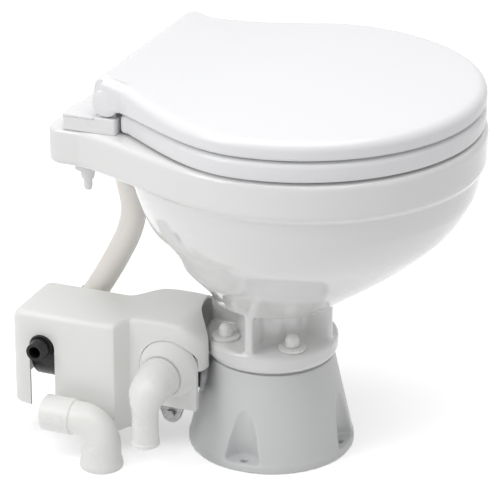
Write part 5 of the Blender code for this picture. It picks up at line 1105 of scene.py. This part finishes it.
def motor():
    """The motor: case, front flange and two bearings."""
    length = PUMP_FRONT - GAP - MOTOR_FRONT
    rear = length - MOTOR_REAR_WALL
    inner = MOTOR_RADIUS - MOTOR_WALL
    hold = BEARING_RADIUS + GAP
    step = rear + BEARING_WIDTH + GAP
    piece("motor_case", turned([
        (inner, 0.0), (MOTOR_RADIUS, 0.0), (MOTOR_RADIUS, length), (MOTOR_BORE_RADIUS, length),
        (MOTOR_BORE_RADIUS, step), (hold, step), (hold, rear), (inner, rear),
    ], pump_axis(MOTOR_FRONT), closed=True), "motor_black")
    flange_y = MOTOR_FRONT - GAP - MOTOR_FLANGE_THICKNESS
    front = flange_y + (MOTOR_FLANGE_THICKNESS - BEARING_WIDTH) / 2.0
    eye = SHAFT_RADIUS + GAP
    ring_on_shaft("rear_bearing", MOTOR_FRONT + rear, BEARING_WIDTH, BEARING_RADIUS, eye, "stainless")
    ring_on_shaft("motor_flange", flange_y, MOTOR_FLANGE_THICKNESS, MOTOR_RADIUS, hold, "black_plastic")
    ring_on_shaft("front_bearing", front, BEARING_WIDTH, BEARING_RADIUS, eye, "stainless")


def macerator():
    """The macerator housing: a cup that takes the bowl's waste from below and delivers through its flat."""
    length = MOTOR_FRONT - 2.0 * GAP - MOTOR_FLANGE_THICKNESS - MACERATOR_FRONT
    rear = MACERATOR_CHAMBER_LENGTH + 2.0 * MACERATOR_WALL
    body = piece("macerator_housing", turned([
        (MACERATOR_RADIUS - MACERATOR_WALL, 0.0), (MACERATOR_RADIUS, MACERATOR_WALL),
        (MACERATOR_RADIUS, rear), (MACERATOR_NECK_RADIUS, rear), (MACERATOR_NECK_RADIUS, length),
    ], pump_axis(MACERATOR_FRONT)), "black_plastic")
    start = WAY_OUT * (OUTLET_REACH + GAP) + Z_AXIS * OUTLET_HEIGHT
    fuse(body, rod(start, WAY_OUT, MACERATOR_STUB_LENGTH, MACERATOR_STUB_RADIUS))
    inside = MACERATOR_FRONT + MACERATOR_WALL
    cut(body, on_shaft(inside, MACERATOR_CHAMBER_LENGTH, MACERATOR_CHAMBER_RADIUS),
        on_shaft(inside, length, SHAFT_RADIUS + 2.0 * GAP),
        rod(start - WAY_OUT * OVERRUN, WAY_OUT, MACERATOR_STUB_LENGTH, OUTLET_BORE_RADIUS),
        block((COVER_NEAR_X - COVER_WALL, MACERATOR_FRONT - OVERRUN, 0.0),
              (DISCHARGE_SEAT_X + GAP, MOTOR_FRONT, COVER_TOP)))


def discharge():
    """Gasket, stainless plate with its screw, moulded boss on it, and the elbow's seal ring."""
    disc = eye_points([(DISCHARGE_Y, DISCHARGE_Z, PLATE_RADIUS), (EAR_Y, EAR_Z, EAR_RADIUS)], ROUND_STEPS)
    start_x = DISCHARGE_SEAT_X + OVERRUN
    plate_x = DISCHARGE_SEAT_X - DISCHARGE_GASKET_THICKNESS - GAP
    for name, x, thickness, finish in (
        ("discharge_gasket", DISCHARGE_SEAT_X, DISCHARGE_GASKET_THICKNESS, "rubber"),
        ("discharge_plate", plate_x, PLATE_THICKNESS, "stainless"),
    ):
        flat = piece(name, slab(x - thickness, x, disc), finish)
        cut(flat, rod((start_x, DISCHARGE_Y, DISCHARGE_Z), -X_AXIS, 4.0 * OVERRUN, PLATE_BORE_RADIUS),
            rod((start_x, EAR_Y, EAR_Z), -X_AXIS, 4.0 * OVERRUN, PLATE_BOLT_SHANK + GAP, SMALL_ROUND_STEPS))
    face = plate_x - PLATE_THICKNESS - GAP
    piece("plate_screw", turned([
        (PLATE_BOLT_SHANK, face - start_x), (PLATE_BOLT_SHANK, 0.0),
        (PLATE_BOLT_RADIUS, 0.0), (PLATE_BOLT_RADIUS, PLATE_BOLT_HEAD),
    ], axis_matrix((face, EAR_Y, EAR_Z), -X_AXIS), HEXAGON), "stainless")
    shoulder = BOSS_SEAT_X - BOSS_SHOULDER_X
    nose = BOSS_SEAT_X - BOSS_NOSE_X
    boss = piece("discharge_boss", turned([
        (BOSS_RADIUS, 0.0), (BOSS_RADIUS, shoulder),
        (BOSS_SOFT_RADIUS, shoulder + (nose - shoulder) * BOSS_SOFT_SHARE),
        (BOSS_BEND_RADIUS, nose * BOSS_BEND_SHARE), (BOSS_NOSE_RADIUS, nose),
    ], axis_matrix((BOSS_SEAT_X, DISCHARGE_Y, DISCHARGE_Z), -X_AXIS)), "cover_white")
    fuse(boss, block((BOSS_SHOULDER_X, DISCHARGE_Y - BOSS_RADIUS, BOSS_FOOT_Z),
                     (BOSS_SEAT_X, DISCHARGE_Y + BOSS_RADIUS, DISCHARGE_Z)))
    reach = BOSS_RADIUS * NUB_SHARE
    for angle in map(math.radians, NUB_DEGREES):
        nub = (BOSS_SHOULDER_X, DISCHARGE_Y - reach * math.cos(angle), DISCHARGE_Z + reach * math.sin(angle))
        fuse(boss, rod(nub, -X_AXIS, NUB_LENGTH, NUB_RADIUS, SMALL_ROUND_STEPS))
    bore_start = (BOSS_SEAT_X + OVERRUN, DISCHARGE_Y, DISCHARGE_Z)
    cut(boss, rod(bore_start, -X_AXIS, nose + 2.0 * OVERRUN, PLATE_BORE_RADIUS))
    seal = axis_matrix((BOSS_NOSE_X - GAP, DISCHARGE_Y, DISCHARGE_Z), -X_AXIS)
    ring = washer(PLATE_BORE_RADIUS, ELBOW_SEAL_RADIUS, 0.0, ELBOW_SEAL_THICKNESS, seal)
    piece("elbow_seal", ring, "rubber")


def discharge_elbow():
    """The swivelling discharge elbow: thick collar, round bend and hose tail with a small bead."""
    start = Vector((BOSS_NOSE_X - 2.0 * GAP - ELBOW_SEAL_THICKNESS, DISCHARGE_Y, DISCHARGE_Z))
    corner = Vector((ELBOW_LEG_X, DISCHARGE_Y, DISCHARGE_Z))
    end = Vector((ELBOW_LEG_X, DISCHARGE_Y, ELBOW_END_Z))
    first = corner + X_AXIS * ELBOW_BEND_RADIUS
    path = [start.lerp(first, along) for along, _ in ELBOW_COLLAR_STATIONS]
    radii = [ELBOW_COLLAR_RADIUS * share for _, share in ELBOW_COLLAR_STATIONS]
    path += quarter_bend(corner, -X_AXIS, -Z_AXIS, ELBOW_BEND_RADIUS)
    neck = ELBOW_COLLAR_RADIUS * ELBOW_NECK_SHARE
    for share in (2.0 * i / BEND_STEPS for i in range(BEND_STEPS + 1)):
        if share < 1.0:
            radii.append(neck + (ELBOW_MID_RADIUS - neck) * share)
        else:
            radii.append(ELBOW_MID_RADIUS + (ELBOW_LEG_RADIUS - ELBOW_MID_RADIUS) * (share - 1.0))
    bead = ELBOW_BEAD_RADIUS - ELBOW_LEG_RADIUS
    path += [end + Z_AXIS * bead * back for back in (5.0, 4.0, 1.0, 0.0)]
    radii += [ELBOW_LEG_RADIUS, ELBOW_BEAD_RADIUS, ELBOW_BEAD_RADIUS, ELBOW_LEG_RADIUS]
    piece("discharge_elbow", pipe(path, radii, [ELBOW_BORE_RADIUS] * len(path), ELBOW_SIDES), "fitting_white")


def spare_elbow():
    """The loose elbow for a wider hose, standing on its lip."""
    path = [Vector((SPARE_X, SPARE_Y, SPARE_LIP_HEIGHT * share)) for share, _ in SPARE_LIP_STATIONS]
    radii = [radius for _, radius in SPARE_LIP_STATIONS]
    path += quarter_bend(Vector((SPARE_X, SPARE_Y, SPARE_ARM_Z)), Z_AXIS, Y_AXIS, SPARE_BEND_RADIUS)
    thinner = SPARE_ARM_RADIUS - SPARE_RADIUS
    radii += [SPARE_RADIUS + thinner * i / BEND_STEPS for i in range(BEND_STEPS + 1)]
    step = SPARE_SOCKET_RADIUS - SPARE_ARM_RADIUS
    ends = (SPARE_SOCKET_START, SPARE_SOCKET_START + step, SPARE_SOCKET_END - step, SPARE_SOCKET_END)
    path += [Vector((SPARE_X, y, SPARE_ARM_Z)) for y in ends]
    radii += [SPARE_ARM_RADIUS, SPARE_SOCKET_RADIUS, SPARE_SOCKET_RADIUS, SPARE_ARM_RADIUS]
    bores = [min(radius, SPARE_RADIUS) - SPARE_WALL for radius in radii]
    bores[-4:] = [SPARE_ARM_RADIUS - SPARE_WALL] * 4
    piece("spare_elbow", pipe(path, radii, bores, ELBOW_SIDES), "fitting_white")


def ease(value, low, high):
    """0 up to the low value, 1 from the high value, and a smooth step between."""
    t = min(max((value - low) / (high - low), 0.0), 1.0)
    return t * t * (3.0 - 2.0 * t)


def cover_section(y, shrink, wall, bottom):
    """One cross section of the cover at a depth: an upside down U with round shoulders, as a closed ring."""
    waist = ease(y, COVER_WAIST_Y - COVER_TURN_RUN, COVER_WAIST_Y)
    near = COVER_NOSE_NEAR_X + (COVER_NEAR_X - COVER_NOSE_NEAR_X) * waist + wall + shrink
    hump = 1.0 - ease(abs(y - COVER_HUMP_Y), *COVER_HUMP_RUN)
    wing = 1.0 - ease(y, COVER_WAIST_Y - COVER_WING_RUN, COVER_WAIST_Y + COVER_WING_RUN)
    far = COVER_FAR_X + (COVER_HUMP_FAR_X - COVER_FAR_X) * wing - wall - shrink
    top = COVER_TOP + COVER_HUMP_RISE * hump - wall - shrink
    near_edge = COVER_EDGE - wall
    far_edge = COVER_EDGE + (COVER_HUMP_EDGE - COVER_EDGE) * wing - wall
    ring = [(near - COVER_DRAFT_SHARE * (top - bottom), bottom)]
    ring += [(near + back, top - down) for back, down in quarter(near_edge, CORNER_STEPS)]
    ring += [(far - back, top - down) for back, down in quarter(far_edge, CORNER_STEPS)[::-1]]
    ring.append((far, bottom))
    return [Vector((x, y, z)) for x, z in ring]


def cover_body(wall, bottom):
    """The cover as a solid, moved inwards by a wall: rounded rear and front ends, sections between."""
    rear = COVER_REAR - wall
    corner = COVER_REAR_CORNER - wall
    front = COVER_FRONT + wall
    soft = COVER_FRONT_CORNER - wall
    high = rear - corner
    run = front + soft - high
    places = [(rear - along, back) for back, along in quarter(corner, CORNER_STEPS)[::-1]]
    places += [(high + run * i / COVER_STATIONS, 0.0) for i in range(1, COVER_STATIONS)]
    places += [(front + along, back) for back, along in quarter(soft, CORNER_STEPS)]
    return rings_mesh([cover_section(y, shrink, wall, bottom) for y, shrink in places])


def pump_cover():
    """The moulded cover: a thin shell, open below, with slots, a scalloped rear and room for the base."""
    cover = piece("pump_cover", cover_body(0.0, COVER_FOOT_Z), "cover_white")
    cut(cover, cover_body(COVER_WALL, COVER_FOOT_Z - OVERRUN))
    far = COVER_NEAR_X * 2.0
    near = -COVER_NEAR_X
    boss_end = DISCHARGE_Y + BOSS_RADIUS
    edge = [
        (COVER_REAR + OVERRUN, 0.0), (COVER_REAR + OVERRUN, COVER_BOTTOM_REAR),
        (COVER_WAIST_Y, COVER_BOTTOM_MIDDLE),
        (boss_end, COVER_BOTTOM_MIDDLE), (boss_end, COVER_BOTTOM_FRONT),
        (COVER_FRONT - OVERRUN, COVER_BOTTOM_FRONT), (COVER_FRONT - OVERRUN, 0.0),
    ]
    cut(cover, rings_mesh([[Vector((x, y, z)) for y, z in edge] for x in (far, near)]))
    slope = (CONE_FOOT_RADIUS - CONE_TOP_RADIUS) / (BASE_HEIGHT - PLINTH_HEIGHT)
    clear = COVER_BASE_CLEARANCE
    cut(cover, turned([
        (CONE_TOP_RADIUS + slope * BASE_HEIGHT + clear, -OVERRUN),
        (CONE_TOP_RADIUS + clear + FLANGE_EDGE, BASE_HEIGHT - FLANGE_THICKNESS),
        (FLANGE_RADIUS + clear, BASE_HEIGHT), (FLANGE_RADIUS + clear, COVER_HOLLOW_TOP),
    ], steps=NECK_STEPS))
    slot = COVER_SLOT_RADIUS
    mouth = BOSS_RADIUS + 2.0 * GAP
    cut(cover, rod((far, PORT_Y, COVER_SLOT_Z), X_AXIS, near - far, slot),
        block((far, PORT_Y - slot, 0.0), (near, PORT_Y + slot, COVER_SLOT_Z)),
        rod((DISCHARGE_SEAT_X, DISCHARGE_Y, DISCHARGE_Z), -X_AXIS, near, mouth),
        block((far, DISCHARGE_Y - mouth, 0.0), (DISCHARGE_SEAT_X, DISCHARGE_Y + mouth, DISCHARGE_Z)),
        rod((PUMP_X, COVER_REAR - COVER_REAR_CORNER, COVER_ARCH_Z), Y_AXIS, COVER_REAR, COVER_ARCH_RADIUS))
    for y, radius in ((PUMP_FRONT + PUMP_WALL * 2.0, PUMP_RADIUS),
                      (MOTOR_FRONT + MOTOR_REAR_WALL * 3.0, MOTOR_RADIUS)):
        foot = PUMP_Z + radius + GAP
        fuse(cover, upright(PUMP_X, y, foot, COVER_TOP - COVER_WALL / 2.0 - foot, COVER_POST_RADIUS))


def rinse_hose():
    """The white rinse hose with a clamp at each end."""
    start = Vector((OUTLET_ELBOW_X, PORT_Y, PORT_Z)) + LEAN * (HOSE_LEAN_START + OVERRUN)
    route = smooth((start, *HOSE_ROUTE), HOSE_STEPS)
    bore = (max(OUTLET_ELBOW_RADIUS, INLET_SPIGOT_RADIUS) + GAP) / math.cos(math.pi / HOSE_SIDES)
    hose = pipe(route, [HOSE_RADIUS] * len(route), [bore] * len(route), HOSE_SIDES)
    piece("rinse_hose", hose, "hose_white")
    inner = (HOSE_RADIUS + GAP) / math.cos(math.pi / ROUND_STEPS)
    top = Vector(HOSE_ROUTE[-1]) - Z_AXIS * (CLAMP_WIDTH + OVERRUN)
    for word, place, way in (("bottom", start + LEAN * OVERRUN, LEAN), ("top", top, Z_AXIS)):
        ring = washer(inner, CLAMP_RADIUS, 0.0, CLAMP_WIDTH, axis_matrix(place, way))
        clamp = piece(f"hose_clamp_{word}", ring, "stainless")
        housing = block((CLAMP_RADIUS - OVERRUN / 2.0, -CLAMP_HOUSING, CLAMP_MARGIN),
                        (CLAMP_RADIUS + CLAMP_HOUSING, CLAMP_HOUSING, CLAMP_WIDTH - CLAMP_MARGIN))
        turn = Matrix((X_AXIS, way.cross(X_AXIS), way)).transposed().to_4x4()
        bmesh.ops.transform(housing, matrix=Matrix.Translation(place) @ turn, verts=housing.verts)
        fuse(clamp, housing)


def feed(tree, node, values):
    """Set a node's inputs, each from a value or from another node's output."""
    for name, value in values.items():
        if isinstance(value, bpy.types.NodeSocket):
            tree.links.new(value, node.inputs[name])
        else:
            node.inputs[name].default_value = value


def added(tree, kind, values):
    """A new shader node with its inputs set."""
    node = tree.nodes.new(f"ShaderNode{kind}")
    feed(tree, node, values)
    return node


def noise(tree, coordinates, scale, detail, stretch=EVEN):
    """Noise in object coordinates, stretched along the axes."""
    place = added(tree, "Mapping", {"Scale": stretch, "Vector": coordinates})
    made = added(tree, "TexNoise", {"Scale": scale, "Detail": detail, "Vector": place.outputs["Vector"]})
    return made.outputs["Fac"]


def spread(tree, value, low, high):
    """The middle of a noise spread between two values."""
    made = added(tree, "MapRange", {
        "From Min": NOISE_LOW, "From Max": NOISE_HIGH, "To Min": low, "To Max": high, "Value": value,
    })
    return made.outputs["Result"]


def finish_material(name, look):
    """A procedural material: colour drift, uneven gloss, and a bump of long waves with fine grain."""
    colour, shade, drift_scale, gloss_scale, roughness, wave_scale, wave, grain_scale, grain, own = look
    stretch = own.get("stretch", EVEN)
    made = bpy.data.materials.new(name)
    made.use_nodes = True
    tree = made.node_tree
    coordinates = tree.nodes.new("ShaderNodeTexCoord").outputs["Object"]
    drift = noise(tree, coordinates, drift_scale, DRIFT_DETAIL, stretch)
    mix = tree.nodes.new("ShaderNodeMix")
    mix.data_type = "RGBA"
    feed(tree, mix, {"A": (*colour, 1.0), "B": (*shade, 1.0), "Factor": spread(tree, drift, 0.0, 1.0)})
    waves = added(tree, "Bump", {
        "Strength": wave, "Distance": WAVE_DISTANCE,
        "Height": noise(tree, coordinates, wave_scale, WAVE_DETAIL),
    })
    fine = added(tree, "Bump", {
        "Strength": grain, "Distance": GRAIN_DISTANCE, "Normal": waves.outputs["Normal"],
        "Height": noise(tree, coordinates, grain_scale, GRAIN_DETAIL, stretch),
    })
    gloss = noise(tree, coordinates, gloss_scale, GLOSS_DETAIL, stretch)
    feed(tree, tree.nodes["Principled BSDF"], {
        "Base Color": mix.outputs["Result"],
        "Roughness": spread(tree, gloss, *roughness),
        "Metallic": own.get("metallic", 0.0),
        "Specular IOR Level": own.get("specular", 0.5),
        "Coat Weight": own.get("coat", 0.0),
        "Coat Roughness": COAT_ROUGHNESS,
        "Subsurface Weight": own.get("subsurface", 0.0),
        "Subsurface Scale": SUBSURFACE_DEPTH,
        "Normal": fine.outputs["Normal"],
    })
    return made


def carried_finish(node):
    """The finish of a CAD node that shows as it is."""
    if node in ("shaft", "macerator_blade"):
        return "stainless"
    return {"rotor": "rotor_steel", "rinse_impeller": "rubber"}.get(node, "black_plastic")


def body_of(node):
    for body, nodes in frame["record"]["behaviour"]["bodies"].items():
        if node in nodes:
            return body
    return None


def build_pieces():
    base()
    base_gasket()
    bowl()
    flange_fasteners()
    for side, word in SIDES:
        hinge(side, word)
    seat()
    lid()
    rinse_pump()
    motor()
    macerator()
    discharge()
    discharge_elbow()
    spare_elbow()
    pump_cover()
    rinse_hose()
    for name, (made, _) in PIECES.items():
        bake(made, *MELTED.get(name, (0.0, 0)))
    for form in FORMS:
        bpy.data.objects.remove(form, do_unlink=True)
    materials = {finish: finish_material(finish, look) for finish, look in LOOKS.items()}
    for name, (made, finish) in PIECES.items():
        made.data.materials.clear()
        made.data.materials.append(materials[OWN_FINISH.get(name, finish)])
        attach(made, body_of(name))
        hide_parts(name)
    for name, node in frame["nodes"].items():
        if name in PIECES:
            continue
        for place in node.material_slots:
            place.material = materials[carried_finish(name)]


def placed(name, data):
    """A new object in the scene from its data."""
    made = bpy.data.objects.new(name, data)
    bpy.context.scene.collection.objects.link(made)
    return made


def camera():
    lens = bpy.data.cameras.new("camera")
    lens.lens = CAMERA_LENS
    lens.sensor_width = CAMERA_SENSOR
    lens.sensor_fit = "HORIZONTAL"
    lens.clip_start = CAMERA_CLIP
    made = placed("camera", lens)
    back = CAMERA_BACK.normalized()
    made.location = CAMERA_AIM + back * CAMERA_DISTANCE
    made.rotation_euler = back.to_track_quat("Z", "Y").to_euler()
    bpy.context.scene.camera = made


def area_light(name, place, aim, width, height, power):
    lamp = bpy.data.lights.new(name, "AREA")
    lamp.shape = "RECTANGLE"
    lamp.size = width
    lamp.size_y = height
    lamp.energy = power
    made = placed(name, lamp)
    made.location = place
    made.rotation_euler = (Vector(place) - Vector(aim)).to_track_quat("Z", "Y").to_euler()


def shown_to_eye(tree):
    """1 for rays that see the background: camera, glossy and transmission rays."""
    rays = tree.nodes.new("ShaderNodeLightPath").outputs
    seen = rays["Is Camera Ray"]
    for other in ("Is Glossy Ray", "Is Transmission Ray"):
        either = tree.nodes.new("ShaderNodeMath")
        either.operation = "MAXIMUM"
        feed(tree, either, {0: seen, 1: rays[other]})
        seen = either.outputs["Value"]
    return seen


def world():
    made = bpy.data.worlds.new("studio")
    made.use_nodes = True
    tree = made.node_tree
    scale = added(tree, "MapRange", {"To Min": WORLD_FILL, "To Max": 1.0, "Value": shown_to_eye(tree)})
    feed(tree, tree.nodes["Background"], {"Color": WHITE, "Strength": scale.outputs["Result"]})
    bpy.context.scene.world = made


def floor():
    work = bmesh.new()
    bmesh.ops.create_grid(work, x_segments=1, y_segments=1, size=FLOOR_SIZE / 2.0)
    mesh = bpy.data.meshes.new("floor")
    work.to_mesh(mesh)
    work.free()
    made = placed("floor", mesh)
    made.location.z = -FLOOR_DROP
    skin = bpy.data.materials.new("floor")
    skin.use_nodes = True
    tree = skin.node_tree
    lift = tree.nodes.new("ShaderNodeMath")
    lift.operation = "MULTIPLY"
    feed(tree, lift, {0: shown_to_eye(tree), 1: FLOOR_LIFT})
    feed(tree, tree.nodes["Principled BSDF"], {
        "Base Color": FLOOR_COLOUR, "Roughness": FLOOR_ROUGHNESS, "Specular IOR Level": FLOOR_SPECULAR,
        "Emission Color": WHITE, "Emission Strength": lift.outputs["Value"],
    })
    mesh.materials.append(skin)


build_pieces()
camera()
world()
floor()
for row in LIGHTS:
    area_light(*row)
bpy.context.scene.view_settings.view_transform = "Standard"
